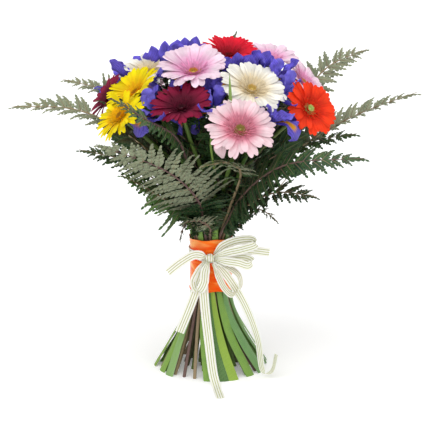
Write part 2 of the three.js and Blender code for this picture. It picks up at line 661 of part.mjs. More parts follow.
// The shape of one frond: sections of its stipe, and the points of its rachis and of each pinna. Side 1 is on
// the right of the way it grows, and side -1 on the left.
function frondShape({ foot, azimuth, points, halfWidth, pairs, roll, fold }, route) {
  const line = frondLine(foot, points, route);
  const leafy = (share) => line(THREE.MathUtils.lerp(LEAF_START, 1, share));
  const rachis = Array.from({ length: pairs + 2 }, (_, k) => leafy(k / (pairs + 1)));
  const flat = rachis[pairs + 1].clone().sub(rachis[0]).setZ(0).cross(UP).normalize();
  const ahead = rachis.map((_, k) => aheadAt(rachis, k));
  const side = ahead.map((t) => {
    const w = turned(flat, t, roll);
    return w.addScaledVector(t, -w.dot(t)).normalize();
  });
  const normal = side.map((w, k) => w.clone().cross(ahead[k]));
  const slim = (k) => RACHIS_HALF_WIDTH * (1 - (0.5 * k) / pairs);
  const notch = (s, k) => rachis[k].clone().addScaledVector(side[k], s * slim(k));
  const thick = (k) => normal[k].clone().multiplyScalar(RACHIS_HALF_THICKNESS * (1 - (0.4 * k) / pairs));
  const rib = rachis.map((middle, k) => {
    return [notch(1, k), middle.clone().sub(thick(k)), notch(-1, k), middle.clone().add(thick(k))];
  });

  const stipePoints = [...foot.slice(0, -1), ...STIPE_STATIONS.map(line)];
  const turn = direction(azimuth + 90).dot(side[0]) < 0 ? -90 : 90;
  const stipe = stipePoints.map((middle, i) => {
    const t = aheadAt([...stipePoints, rachis[0]], i);
    const free = Math.max(0, i - foot.length + 1) / (STIPE_STATIONS.length + 1);
    const w = direction(spiralAzimuth(azimuth, middle.z) + turn).lerp(side[0], free);
    w.addScaledVector(t, -w.dot(t)).normalize();
    const up = w.clone().cross(t);
    const radius = STIPE_RADIUS * (1 - STIPE_TAPER * Math.max(0, i - foot.length + 1));
    const corners = [[w, radius], [up, -radius], [w, -radius], [up, radius]];
    return corners.map(([way, far]) => middle.clone().addScaledVector(way, far));
  });

  function pinna(s, k, [scale, tilt]) {
    const t = (k + 0.5) / (pairs + 0.6);
    const [from, to] = [notch(s, k), notch(s, k + 1)];
    const root = from.clone().lerp(to, 0.5);
    const spacing = from.distanceTo(to);
    const slant = radians(THREE.MathUtils.lerp(...PINNA_SLANTS, t) + 4 * vary(k, pairs));
    const taper = Math.pow(1 - t, PINNA_TAPER) * Math.min(1, 0.74 + 2.4 * t) * (1 + 0.06 * vary(k, s));
    const length = halfWidth * scale * taper;
    const out = turned(side[k].clone().multiplyScalar(s), ahead[k], s * (tilt - fold));
    const way = out.clone().multiplyScalar(Math.cos(slant)).addScaledVector(ahead[k], Math.sin(slant));
    const up = out.clone().cross(ahead[k]).multiplyScalar(s);
    const at = (share, swing) =>
      root
        .clone()
        .addScaledVector(way, length * share)
        .addScaledVector(ahead[k], swing * spacing)
        .addScaledVector(up, -length * PINNA_DROOP * share * share);
    const half = up.clone().multiplyScalar(PINNA_THICKNESS / 2);
    return { from, to, a: at(0.42, -0.43), tip: at(1, 0), b: at(0.42, 0.4), rib: { at: at(0.36, 0), half } };
  }
  return { pairs, stipe, rachis, rib, notch, thick, pinna };
}

// A pinna by itself, to find where it is clear.
function pinnaPlate({ pinna }, s, k, bend) {
  const { from, to, a, tip, b, rib } = pinna(s, k, bend);
  const rim = [from, a, tip, b, to];
  if (s < 0) rim.reverse();
  return plate(rim, [rib], [[5, 0, 1], [5, 1, 2], [5, 2, 3], [5, 3, 4], [5, 4, 0]]);
}

// A whole frond as one closed surface: the stipe, and the blade that is cut to its rib between the pinnae.
// The blade's rim runs out along the right side and back along the left.
function frond({ pairs, stipe, rachis, notch, thick, pinna }, bends) {
  const rim = [];
  const inner = [];
  const onRim = (...list) => list.map((p) => rim.push(p) - 1);
  const order = Array.from({ length: pairs }, (_, k) => k);
  const right = order.map((k) => {
    const { from, a, tip, b, rib } = pinna(1, k, bends[1][k]);
    return { middle: inner.push(rib) - 1, edge: onRim(from, a, tip, b) };
  });
  const end = onRim(notch(1, pairs), rachis[pairs + 1], notch(-1, pairs));
  const left = order
    .reverse()
    .map((k) => {
      const { from, a, tip, b, rib } = pinna(-1, k, bends[-1][k]);
      return { middle: inner.push(rib) - 1, edge: onRim(b, tip, a, from) };
    })
    .reverse();
  for (let k = 0; k <= pairs; k++) inner.push({ at: rachis[k], half: thick(k) });
  const innerAt = (i) => rim.length + i;
  const spineAt = (k) => innerAt(2 * pairs + k);
  const fan = (middle, loop) => loop.map((p, i) => [middle, p, loop[(i + 1) % loop.length]]);
  const faces = right.flatMap(({ middle, edge }, k) => {
    const next = k + 1 < pairs ? right[k + 1].edge[0] : end[0];
    return fan(innerAt(middle), [...edge, next, spineAt(k + 1), spineAt(k)]);
  });
  left.forEach(({ middle, edge }, k) => {
    const next = k + 1 < pairs ? left[k + 1].edge[3] : end[2];
    faces.push(...fan(innerAt(middle), [next, ...edge, spineAt(k), spineAt(k + 1)]));
  });
  faces.push([spineAt(pairs), end[0], end[1]], [spineAt(pairs), end[1], end[2]]);
  const blade = plateParts(rim, inner, faces);
  const base = [right[0].edge[0], blade.under(spineAt(0)), left[0].edge[3], spineAt(0)];
  const first = blade.points.length;
  const rings = stipe.map((section, i) => section.map((_, k) => first + i * section.length + k));
  const stalkFaces = [...between([...rings, base]), ...cap([...rings[0]].reverse())];
  return geometry([...blade.points, ...stipe.flat()], [...blade.faces, ...stalkFaces]);
}

// Band and bow

// The satin band: a ring with its top and bottom edges gathered a little proud.
function band() {
  const [low, high] = [TIE_Z - BAND_HEIGHT / 2, BAND_TOP];
  const profile = [
    [BAND_INNER_RADIUS, low],
    [BAND_OUTER_RADIUS + BAND_FOLD, low],
    [BAND_OUTER_RADIUS, low + 9],
    [BAND_OUTER_RADIUS, high - 9],
    [BAND_OUTER_RADIUS + BAND_FOLD, high],
    [BAND_INNER_RADIUS, high],
    [BAND_INNER_RADIUS, low],
  ].map(([r, z]) => new THREE.Vector2(r / Math.cos(Math.PI / BAND_SIDES), z));
  return solid(new THREE.LatheGeometry(profile, BAND_SIDES).rotateX(Math.PI / 2));
}

// The ribbon: once round the band, a knot at the front, four loops and five tails.
function bow() {
  const ring = Array.from({ length: WRAP_SIDES }, (_, k) =>
    direction((-360 * k) / WRAP_SIDES)
      .multiplyScalar(RIBBON_RING_RADIUS)
      .setZ(KNOT[2]),
  );
  const knot = new THREE.SphereGeometry(1, 8, 6).scale(...KNOT_SIZE).translate(...KNOT);
  const ribbon = (list, steps, acrossAt, isLoop) => {
    const points = new THREE.CatmullRomCurve3(list.map(point)).getPoints(steps);
    const width = (i) => RIBBON_ROOT_WIDTHS[isLoop ? Math.min(i, steps - i) : i] ?? RIBBON_WIDTH;
    return solid(strip(points, acrossAt, width, RIBBON_THICKNESS));
  };
  const tail = ({ from, to, points }) => {
    const steps = points.length;
    return ribbon(points, steps, (i) => point(from).lerp(point(to), i / steps), false);
  };
  return joined([
    solid(knot),
    solid(strip(ring, () => UP, () => RIBBON_WIDTH, RIBBON_THICKNESS, true)),
    ...TAILS.map(tail),
    ...LOOPS.map(({ across, points }) => ribbon(points, BOW_STEPS, () => point(across), true)),
  ]);
}

// Assembly

const bouquet = new THREE.Group();
const keep = (name, body, material) => bouquet.add(meshOf(name, body, MATERIALS[material]));

const gerberas = GERBERAS.map(([name, material, centre, azimuth, elevation, radius, cup], index) => {
  const facing = direction(azimuth, elevation);
  const base = point(centre).addScaledVector(facing, -GERBERA.calyxDepth);
  const frame = gerberaFrame(index, point(centre), facing, radius, cup);
  return { name: `gerbera_${name}`, material, facing, base, frame, middle: point(centre) };
});
const irises = IRISES.map(([name, middle, azimuth, elevation, turn, leafy]) => {
  const facing = direction(azimuth, elevation);
  const base = point(middle).addScaledVector(facing, -IRIS.middle);
  return { name: `iris_${name}`, facing, base, turn, leafy, middle: point(middle) };
});
const fronds = FRONDS.map(([name, inCollar, points, halfWidth, pairs, roll, fold]) => ({
  name: `fern_frond_${name}`,
  inCollar,
  points,
  halfWidth,
  pairs,
  roll,
  fold,
}));

// Every stem's place in its ring. The nearer a bloom is to the middle of the dome, the nearer its stem is to
// the middle of the bundle.
const bare = [...gerberas, ...irises.filter((flower) => !flower.leafy)].sort(
  (a, b) => Math.hypot(a.middle.x, a.middle.y) - Math.hypot(b.middle.x, b.middle.y),
);
const leafy = irises.filter((flower) => flower.leafy);
[...bare, ...leafy].forEach((flower) => {
  flower.wants = azimuthOf(flower.middle) + SPIRAL_LEAD;
  flower.width = flower.leafy ? ((STRAP_WIDTH + SIDE_GAP) * COLLAR_RING) / STRAP_RING : 2 * STEM_RADIUS;
});
fronds.forEach((leaf) => {
  leaf.wants = azimuthOf(point(leaf.points[0])) + SPIRAL_LEAD / 2;
  leaf.width = 2 * STIPE_RADIUS + SIDE_GAP;
});
const middleStem = bare[0];
const core = bare.slice(1, 7);
const bunch = bare.slice(7);
const innerFerns = fronds.filter((leaf) => !leaf.inCollar);
const collar = [...leafy, ...fronds.filter((leaf) => leaf.inCollar)];
sideBySide(core, CORE_RING);
sideBySide(bunch, BUNCH_RING);
sideBySide(innerFerns, INNER_FERN_RING);
sideBySide(collar, COLLAR_RING);
middleStem.azimuth = core[0].azimuth - 90;

const stemTo = (owner, radius, { azimuth, base, facing }, sides = STEM_SIDES) =>
  flowerStem(owner, radius, azimuth, base.clone().addScaledVector(facing, -SEAT_GAP), facing, sides);
const coreStems = [
  stemTo("stems_core", 0, middleStem),
  ...core.map((flower) => stemTo("stems_core", CORE_RING, flower)),
];
const bunchStems = bunch.map((flower) => stemTo("stems_bunch", BUNCH_RING, flower));
keep("stems_core", joined(coreStems.map((stem) => stem.body)), "stem");
keep("stems_bunch", joined(bunchStems.map((stem) => stem.body)), "stem");
leafy.forEach((flower) => {
  const name = flower.name.replace("iris_", "iris_leafy_stem_");
  const { points, body } = stemTo(name, COLLAR_RING, flower, LEAFY_STEM_SIDES);
  keep(name, place(name, body.add(strapLeaf(flower.azimuth, points))), "strap");
});
keep("satin_band", place("satin_band", band()), "satin");
keep("ribbon_bow", place("ribbon_bow", bow()), "ribbon");

gerberas.forEach(({ name, frame }) => place(name, solid(gerberaHeart(frame))));
irises.forEach(({ name, base, facing }) => place(name, solid(irisTube(base, facing))));
fronds.forEach((leaf) => {
  leaf.foot = footPath(leaf.inCollar ? COLLAR_RING : INNER_FERN_RING, leaf.azimuth);
  const free = (route) => {
    const { stipe, rib } = frondShape(leaf, route);
    return skin([...stipe.slice(leaf.foot.length - 1), ...rib]);
  };
  leaf.shape = frondShape(leaf, settle(leaf.name, FROND_ROUTES, free));
});
gerberas.forEach(({ name, frame, material }) => {
  const bends = Array.from({ length: GERBERA.petals }, (_, k) =>
    settle(name, PETAL_BENDS, (bend) => petalWedge(frame, k, bend)),
  );
  keep(name, solid(gerbera(frame, bends)), material);
});
irises.forEach(({ name, base, facing, turn }) => keep(name, iris(name, base, facing, turn), "violet"));

fronds.forEach(({ name, shape, pairs }) => {
  const bends = { 1: [], "-1": [] };
  for (let k = 0; k < pairs; k++)
    for (const s of [1, -1]) {
      const make = (bend) => pinnaPlate(shape, s, k, bend);
      bends[s].push(settle(name, PINNA_BENDS, make));
    }
  keep(name, solid(frond(shape, bends)), "fern");
});

export default bouquet;
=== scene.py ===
"""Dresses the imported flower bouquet. Every fine piece is worked out from the same named values as the solid
that it stands for. Lengths are in millimetres until a mesh is made, +Z is up, and the front of the bouquet is
at -Y. An azimuth is in degrees, seen from above: 0 points to -Y and 90 to +X."""

import itertools
import math

import bpy
import numpy as np
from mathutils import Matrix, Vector


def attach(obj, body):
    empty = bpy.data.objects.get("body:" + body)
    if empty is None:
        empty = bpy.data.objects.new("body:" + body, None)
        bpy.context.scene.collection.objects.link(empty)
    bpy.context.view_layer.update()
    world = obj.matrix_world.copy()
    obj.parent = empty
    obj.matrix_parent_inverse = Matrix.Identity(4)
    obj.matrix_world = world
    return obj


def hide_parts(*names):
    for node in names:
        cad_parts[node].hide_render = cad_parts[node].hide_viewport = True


bl_info = {
    "name": "Hand-Tied Bouquet",
    "version": (1, 0, 0),
    "blender": (4, 5, 0),
    "location": "3D View > Sidebar > Bouquet",
    "description": "Builds a spiral bouquet of gerberas, irises and fern round its packed solids",
    "category": "Add Mesh",
}

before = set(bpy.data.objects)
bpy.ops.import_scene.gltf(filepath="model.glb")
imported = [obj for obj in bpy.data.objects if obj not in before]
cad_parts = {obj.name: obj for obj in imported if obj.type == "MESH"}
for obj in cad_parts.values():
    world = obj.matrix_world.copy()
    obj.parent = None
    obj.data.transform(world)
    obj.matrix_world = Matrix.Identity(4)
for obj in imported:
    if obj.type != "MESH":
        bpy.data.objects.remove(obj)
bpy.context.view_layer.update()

MM = 0.001
UP = np.array([0.0, 0.0, 1.0])

# The bundle, as in the solids
TIE_Z = 151
BAND_HEIGHT = 75
BAND_TOP = TIE_Z + BAND_HEIGHT / 2
BAND_OUTER_RADIUS = 29.4
STRAIGHT_HALF = 38.5
FLARE_LENGTH = 40
FOOT_TWIST = 25
SPIRAL_LEAD = 22
FOOT_LEVELS = [0, 58, TIE_Z - STRAIGHT_HALF, BAND_TOP + 1]
STEM_RADIUS = 3.1
STEM_TOP_TAPER = 0.82
STIPE_RADIUS = 2.35
CORE_RING = 5.5
BUNCH_RING = 12.1
INNER_FERN_RING = 18
COLLAR_RING = 23.7
STRAP_RING = 26.4
FOOT_LEAF_RING = 27.1
FOOT_LEAF_ROOM = 11  # degrees that a foot leaf keeps from a long one
SIDE_GAP = 0.6
STRAP_WIDTH = 8.5
STRAP_WIDTHS = [15, 13.6, STRAP_WIDTH, STRAP_WIDTH, 7.5, 2.5]
SEAT_GAP = 0.35
RIBBON_RING_RADIUS = 30.9
ON_FLOOR = 1e-6  # a point that is lower than this stands on the floor
GOLDEN_ANGLE = 137.508

# The greens of the leaves round the foot, each as the colour of a fresh leaf and of an old one
FOOT_LEAF_GREENS = (("8FB56A", "5F9150"), ("9CBC34", "7A9E2C"), ("4C7E30", "2E5A28"), ("B4C8A0", "86A67C"))

# One gerbera, as in the solids, its lengths as shares of the bloom's radius
PETALS = 20
NOTCH = 0.4
DISC_RISE = 0.13
FLORETS = 36
DISC_BUDS = 90
CALYX_RADIUS = 3.2
CALYX_DEPTH = 9
CUP_SPREAD = 2.3
CUP_RIM_DEPTH = 2.2
BRACTS = 36
BUD_BASE = (9.0, -127, 350)
BUD_TIP = (16.0, -140, 329)

# Widths of the petals against the usual, for the kinds that differ
PETAL_WIDTHS = {
    "pink": 1.18, "cream": 1.05, "pale_rose": 0.98, "burgundy": 0.86, "scarlet": 0.86, "yellow": 0.86,
}
# The middle of each kind: the rim and the heart of its disc, and its inner florets
CENTRES = {
    "pink": ("E59A4A", "9FB04A", "EE86C0"), "pale_rose": ("B99A5C", "8F9142", "DE6A88"),
    "cream": ("E0C070", "C0AE60", "F2DDAC"), "burgundy": ("5A1428", "260810", "5A0E26"),
    "yellow": ("C98A12", "8E7420", "F6AC00"), "scarlet": ("8A0F18", "3A0A0E", "A00C1C"),
    "orange_red": ("CFE08A", "9DBB5A", "E83A14"),
}

IRIS_MIDDLE = 30
IRIS_TUBE = [(0, 2.9), (9, 5.4), (16, 3.4)]
# Each whorl: name, turn, and its stations as distance out, height and half width
IRIS_WHORLS = [
    ("style", 0, [(1.8, 13.5, 1), (12, 33, 6.5), (20, 45, 0)]),
    ("standard", 60, [(3, 8, 1.2), (13, 42, 8.5), (15, 63, 0)]),
    ("fall", 0, [(3, 7, 1.2), (18, 26, 6), (33, 27, 14), (44, 14, 0)]),
]

# Iris petals tucked in behind and between the blooms, each as its root, its tip and its half width
TUCKED_PETALS = [
    ((-88, 66, 409), (-112, 68, 428), 11), ((-83, 62, 410), (-97, 66, 438), 10),
    ((-74, 54, 416), (-82, 58, 447), 9), ((-66, 44, 419), (-66, 47, 453), 9),
    ((-56, 28, 424), (-51, 30, 456), 10), ((-42, 22, 430), (-48, 26, 461), 9),
    ((-35, 22, 432), (-33, 24, 467), 10), ((-28, 18, 434), (-18, 20, 464), 9),
    ((-18, 10, 436), (-4, 12, 460), 8), ((33, -20, 420), (18, -24, 442), 11),
    ((38, -22, 422), (36, -26, 450), 9), ((43, -20, 420), (54, -24, 445), 11),
    ((2, -60, 398), (-8, -68, 420), 8), ((6, -62, 398), (12, -72, 423), 8),
    ((64, -12, 424), (76, -16, 449), 9),
]

# The young leaf that stands up between two blooms
YOUNG_LEAF_ROOT = (26, -113, 392)
YOUNG_LEAF_TIP = (24.5, -108, 434)

LEAST_BLADE = 0.62  # a petal that is bent clear in the solids is drawn at least this share of its full length

RACHIS_HALF_WIDTH = 1.6
LEAF_START = 0.6
PINNA_SLANTS = (18, 52)
PINNA_DROOP = 0.16
PINNA_TAPER = 0.62

# Each bloom: name, colour, middle of its disc, azimuth and elevation that it faces, radius, cup in degrees
GERBERAS = [
    ("pink_top", "pink", (-23, -42, 424), -8, 62, 47, 32),
    ("rose_front", "pale_rose", (38, -138, 366), 8, 46, 47, 15),
    ("cream_front", "cream", (54, -76, 408), 22, 54, 47, 18),
    ("burgundy_front", "burgundy", (-38, -98, 386), -16, 60, 42, 26),
    ("orange_right", "orange_red", (132, -64, 380), 36, 30, 40, 14),
    ("scarlet_top", "scarlet", (24, 28, 436), 5, 72, 42, 30),
    ("yellow_upper_left", "yellow", (-100, -40, 396), -58, 52, 41, 34),
    ("white_left", "cream", (-86, 42, 412), -30, 66, 44, 22),
    ("pink_upper_right", "pink", (82, 40, 428), 40, 74, 40, 30),
    ("pink_right", "pink", (128, 40, 398), 66, 42, 41, 18),
    ("yellow_lower_left", "yellow", (-120, -84, 374), -56, 42, 40, 8),
    ("burgundy_left", "burgundy", (-140, -4, 382), -74, 32, 37, 20),
    ("yellow_back", "yellow", (92, 112, 372), 142, 34, 45, 16),
    ("orange_back", "orange_red", (-4, 142, 370), 181, 32, 46, 14),
    ("pink_back", "pink", (-92, 110, 372), -140, 34, 46, 16),
    ("burgundy_back", "burgundy", (38, 84, 410), 158, 58, 43, 24),
    ("rose_back", "pale_rose", (-38, 84, 408), -158, 58, 44, 22),
]

# Each bloom: name, middle, azimuth and elevation that it faces, turn about its own axis, with a leafy stem
IRISES = [
    ("left", (-112, 14, 414), -90, 56, 20, True),
    ("upper_left", (-70, 36, 428), -110, 74, 50, False),
    ("top", (-34, 14, 436), -60, 78, 10, False),
    ("top_right", (42, -16, 422), 40, 74, 60, False),
    ("upper_right", (84, -8, 422), 70, 62, 0, True),
    ("right", (104, -48, 408), 62, 50, 35, True),
    ("front", (5, -99, 397), 2, 48, 60, True),
    ("front_right", (87, -106, 384), 38, 44, 60, True),
    ("front_left", (-76, -94, 390), -34, 48, 15, True),
    ("back_left", (-128, 66, 378), -116, 40, 30, True),
    ("back_right", (46, 128, 388), 162, 44, 0, True),
]

# Each frond: name, stands in the collar, points where the leafy part starts, is half way and ends, greatest
# half width, pairs of pinnae, and in degrees its roll and how far its two sides fold up
FRONDS = [
    ("far_left", True, [(-83, -40, 316), (-172, -36, 371), (-272, -30, 378)], 46, 8, -22, 20),
    ("left_behind", False, [(-96, 36, 330), (-146, 50, 370), (-209, 62, 400)], 36, 6, -30, 8),
    ("over_yellow", False, [(-44, -104, 322), (-86, -136, 368), (-128, -140, 408)], 26, 6, -35, 8),
    ("front_left_high", True, [(-14, -50, 244), (-56, -112, 304), (-148, -152, 350)], 62, 8, 56, 8),
    ("front_left_low", True, [(-23, -38, 224), (-68, -86, 268), (-118, -118, 302)], 48, 7, -34, 8),
    ("left_hanging", True, [(-26, -20, 218), (-36, -24, 210), (-44, -27, 188)], 12, 4, 0, 8),
    ("front_middle", True, [(2, -34, 208), (-14, -58, 224), (-44, -83, 226)], 22, 5, 40, 8),
    ("front_right_high", True, [(38, -54, 252), (96, -108, 312), (203, -130, 327)], 54, 8, 36, 8),
    ("front_right_low", True, [(42, -38, 234), (88, -76, 268), (142, -102, 268)], 42, 6, 28, 8),
    ("right_hanging", True, [(40, -16, 208), (67, -30, 233), (92, -42, 219)], 15, 5, 20, 8),
    ("far_right", True, [(104, -14, 304), (188, -22, 358), (280, -28, 397)], 42, 8, 20, 26),
    ("upper_right", True, [(102, 72, 330), (164, 90, 411), (222, 94, 438)], 40, 6, 40, 8),
    ("top", False, [(4, 52, 396), (18, 60, 436), (36, 66, 464)], 14, 5, 90, 8),
    ("front_centre", False, [(40, -84, 272), (22, -128, 308), (-14, -164, 322)], 26, 6, 0, 8),
    ("right_side", True, [(62, 14, 244), (126, 18, 310), (204, 22, 330)], 44, 7, 30, 8),
    ("back_right_low", True, [(40, 44, 250), (92, 96, 304), (166, 142, 330)], 46, 7, 0, 8),
    ("back_low", True, [(-6, 52, 246), (-16, 118, 304), (-30, 202, 330)], 48, 7, 0, 8),
    ("back_left_low", True, [(-46, 38, 250), (-106, 90, 306), (-178, 132, 336)], 46, 7, 0, 8),
    ("back_high", False, [(36, 108, 296), (70, 164, 340), (84, 226, 380)], 34, 6, 0, 8),
    ("left_side", True, [(-58, 6, 256), (-112, 4, 296), (-184, 8, 310)], 42, 7, -30, 8),
]

# How old the leaflets look on the fronds that differ from the rest: -1 is the freshest and 1 the darkest
FROND_AGES = {
    "front_left_low": -0.9, "far_left": 0.1, "far_right": 0.0, "upper_right": 0.2, "front_right_high": 0.6,
    "front_right_low": 0.5, "left_hanging": 0.7, "left_behind": -0.1, "right_hanging": -0.2,
}
HEART_PINNAE = (210, 60, 36)  # how many stand outside the stems, between them, and behind the front blooms
SHADE_BELOW = 300  # leaflets that start lower than this lie in the shade
TURNED_OVER = ("far_left", "left_behind", "upper_right", "far_right")  # fronds that show their pale underside

# The bow, as in the solids
KNOT = (-1, -34.8, 165)
KNOT_SIZE = (9, 4.5, 8.5)
RIBBON_ROOT = 0.36  # share of its width that is left where a ribbon is gathered into the knot
# Each tail: the way that its width points at the knot and at its end, and the points that it passes
TAILS = [
    ((1, 0, 0), (1, 0.1, 0), [
        (-4, -36, 160), (-10, -38, 132), (-9, -43, 104), (-3, -62, 54),
        (3, -80, 12), (7, -97, 1.8), (13, -146, 1),
    ]),
    ((0.8, 0, -0.6), (0.8, 0, -0.6), [(-6, -36, 161), (-15, -38, 136), (-28, -41, 100), (-44, -44, 60)]),
    ((0, 0, 1), (-0.5, 0, 0.85), [(-7, -35, 167), (-22, -36, 170), (-40, -38, 161), (-60, -38, 145)]),
    ((0, 0, 1), (0, 0, 1), [(5, -35, 167), (24, -38, 173), (47, -41, 178), (81, -38, 174)]),
    ((0.8, 0, 0.6), (0.3, -1, 0), [
        (5, -36, 161), (24, -39, 138), (47, -43, 100), (65, -54, 54),
        (74, -64, 8), (84, -66, 10), (91, -62, 34),
    ]),
]
# Each loop: the way that its width points, and the points that it passes
LOOPS = [
    ((-0.2, 0, 1), [
        (5, -34, 170), (16, -36, 182), (36, -38, 191), (58, -42, 193),
        (62, -46, 188), (44, -46, 181), (22, -43, 175), (5, -39, 168),
    ]),
    ((0.5, 0.8, 0.3), [
        (3, -38, 158), (10, -43, 142), (19, -47, 125), (29, -46, 116),
        (40, -43, 124), (39, -41, 141), (22, -38, 154), (4, -35, 160),
    ]),
    ((0.2, 0, 1), [
        (6, -34, 163), (30, -38, 166), (47, -41, 167), (57, -45, 163),
        (52, -49, 158), (38, -47, 161), (20, -44, 163), (6, -38, 164),
    ]),
    ((1, 0, -0.3), [
        (-6, -34, 162), (-16, -37, 146), (-23, -39, 130), (-17, -43, 120),
        (-10, -46, 132), (-8, -43, 148), (-4, -39, 160),
    ]),
]

# The ways in which the solids were bent clear of each other, in the order in which they were tried
STEM_ROUTES = list(
    itertools.product((0.42, 0.28, 0.56), (0.12, 0.3, 0.5, -0.1), (0, 25, -25, 60, -60, 120, 180))
)
FROND_ROUTES = list(
    itertools.product((1, 0.5, 0.1), (0, 6, -6, 12, -12, 20, -20, 30, -30, 45, -45), (0, -12, 12, -25, 25))
)
SCALES = (1, 0.8, 0.62, 0.45, 0.3, 0.15)
PETAL_BENDS = list(itertools.product(SCALES, (0, 9, -9, 18, -18, 28, -28, 38, 50, 62, 75)))
BLADE_BENDS = list(
    itertools.product((1, 0.84, 0.7, 0.55, 0.4, 0.25), (0, -12, 12, -24, 24, -36, 36, -50, 50, 64, 78))
)
PINNA_BENDS = list(itertools.product(SCALES, (0, -14, 14, -28, 28, -44, 44, -62, 62)))

# A stem is found where at least so many corners of its solid lie its radius away, to within so many
# millimetres, and a frond where the corners of its solid lie so near on average
LEAST_MATCHES = 6
STEM_MATCH = 0.05
FROND_MATCH = 0.3

# How living skin takes the light
PETAL_LOOK = {"IOR": 1.42, "Specular IOR Level": 0.28}
LEAF_LOOK = {"IOR": 1.45}

# Each light: name, azimuth and elevation it comes from, strength, and how many degrees of the sky it fills
LIGHTS = (("key", -30, 58, 1.15, 60), ("fill", 46, 38, 0.5, 80), ("top", 170, 66, 0.15, 90))

# The camera stands where the photograph was taken from
VIEW_ELEVATION = 14
VIEW_DISTANCE = 2200
VIEW_TARGET = (5.6, 0, 218)
VIEW_WIDTH = 602


def linear(code):
    """The linear RGBA of an sRGB hex colour: each channel c becomes c/12.92, or ((c + 0.055)/1.055)^2.4."""
    channels = np.array([int(code[i : i + 2], 16) / 255 for i in (0, 2, 4)])
    bright = ((channels + 0.055) / 1.055) ** 2.4
    return (*np.where(channels <= 0.04045, channels / 12.92, bright).tolist(), 1.0)


# Vectors and curves


def unit(v):
    """v divided by its length."""
    return v / np.maximum(np.linalg.norm(v, axis=-1, keepdims=True), 1e-9)


def direction(azimuth, elevation=0.0):
    """The way (sin a cos e, -cos a cos e, sin e) of an azimuth a and an elevation e."""
    a, e = np.radians(azimuth), np.radians(elevation)
    return np.stack(np.broadcast_arrays(np.sin(a) * np.cos(e), -np.cos(a) * np.cos(e), np.sin(e)), axis=-1)


def turned(v, axis, angle):
    """v turned by the angle about the axis k: v cos t + (k x v) sin t + k (k.v)(1 - cos t)."""
    t = np.radians(angle)
    cos, sin = np.asarray(np.cos(t))[..., None], np.asarray(np.sin(t))[..., None]
    return v * cos + np.cross(axis, v) * sin + axis * np.sum(axis * v, axis=-1, keepdims=True) * (1 - cos)


def squared_off(v, t):
    """v less its part along t, made one long."""
    return unit(v - t * np.sum(v * t, axis=-1, keepdims=True))


def vary(i, j=0):
    """A repeatable value from -1 to 1: twice the fraction of 43758.5453 sin(12.9898 i + 78.233 j), less 1."""
    s = np.sin(np.asarray(i) * 12.9898 + j * 78.233) * 43758.5453
    return 2 * (s - np.floor(s)) - 1


def smooth_path(points, t):
    """Points at the shares t of the curve through the given ones. Each stretch is the cubic whose end slopes
    are weighed by the square roots of the three distances round it."""
    p = np.asarray(points, float)
    p = np.vstack([2 * p[0] - p[1], p, 2 * p[-1] - p[-2]])
    root = np.sqrt(np.linalg.norm(np.diff(p, axis=0), axis=1))[:, None]
    along = np.atleast_1d(t) * (len(points) - 1)
    i = np.minimum(along.astype(int), len(points) - 2)
    u = (along - i)[:, None]
    p0, p1, p2, p3 = p[i], p[i + 1], p[i + 2], p[i + 3]
    d0, d1, d2 = root[i], root[i + 1], root[i + 2]
    m1 = ((p1 - p0) / d0 - (p2 - p0) / (d0 + d1) + (p2 - p1) / d1) * d1
    m2 = ((p2 - p1) / d1 - (p3 - p1) / (d1 + d2) + (p3 - p2) / d2) * d1
    return p1 + m1 * u + (3 * (p2 - p1) - 2 * m1 - m2) * u**2 + (2 * (p1 - p2) + m1 + m2) * u**3


def ways(middle):
    """The unit tangents of lines of points, by central differences along the last axis but one."""
    return unit(np.gradient(middle, axis=-2))


def level_at_floor(middle):
    """The ways ahead along lines of points, but straight up where they stand on the floor."""
    return np.where(middle[..., 2:] < ON_FLOOR, UP, ways(middle))


# Meshes


def crosswise(middle, flat):
    """Across and up along lines of points: across is flat, squared off from the way ahead."""
    ahead = ways(middle)
    across = squared_off(flat + 0 * middle, ahead)
    return across, np.cross(across, ahead)


def skins(rings, grow, slots, end_slot=0):
    """Closed skins, one for each of B rows of rings[B, n, L]: quads between each ring of L points and the
    next, and a flat face over each end. slots[L] are the material slots round a ring. grow[B, n, L, 3] holds,
    for each point, how far across it is (-1 to 1), how far along (0 to 1), and its piece's tone (0 to 1)."""
    count, stations, sides = rings.shape[:3]
    index = np.arange(count * stations * sides).reshape(count, stations, sides)
    beside = np.roll(index, -1, axis=2)
    quads = np.stack([index[:, :-1], beside[:, :-1], beside[:, 1:], index[:, 1:]], axis=-1)
    ends = np.stack([index[:, 0, ::-1], index[:, -1]], axis=1)
    flat = (rings - rings.mean(axis=(1, 2), keepdims=True)).reshape(-1, 3)
    a, b, c, d = (flat[quads[..., k]] for k in range(4))
    volume = np.sum(a * (np.cross(b, c) + np.cross(c, d)), axis=(1, 2, 3))
    inside_out = (volume < 0)[:, None, None]
    quads = np.where(inside_out[..., None], quads[..., ::-1], quads)
    ends = np.where(inside_out, ends[..., ::-1], ends)
    slots = np.broadcast_to(slots, (count, stations - 1, sides))
    return {
        "points": rings.reshape(-1, 3),
        "grow": np.broadcast_to(grow, rings.shape).reshape(-1, 3),
        "faces": [(quads.reshape(-1, 4), slots.reshape(-1)), (ends.reshape(-1, sides), end_slot)],
    }


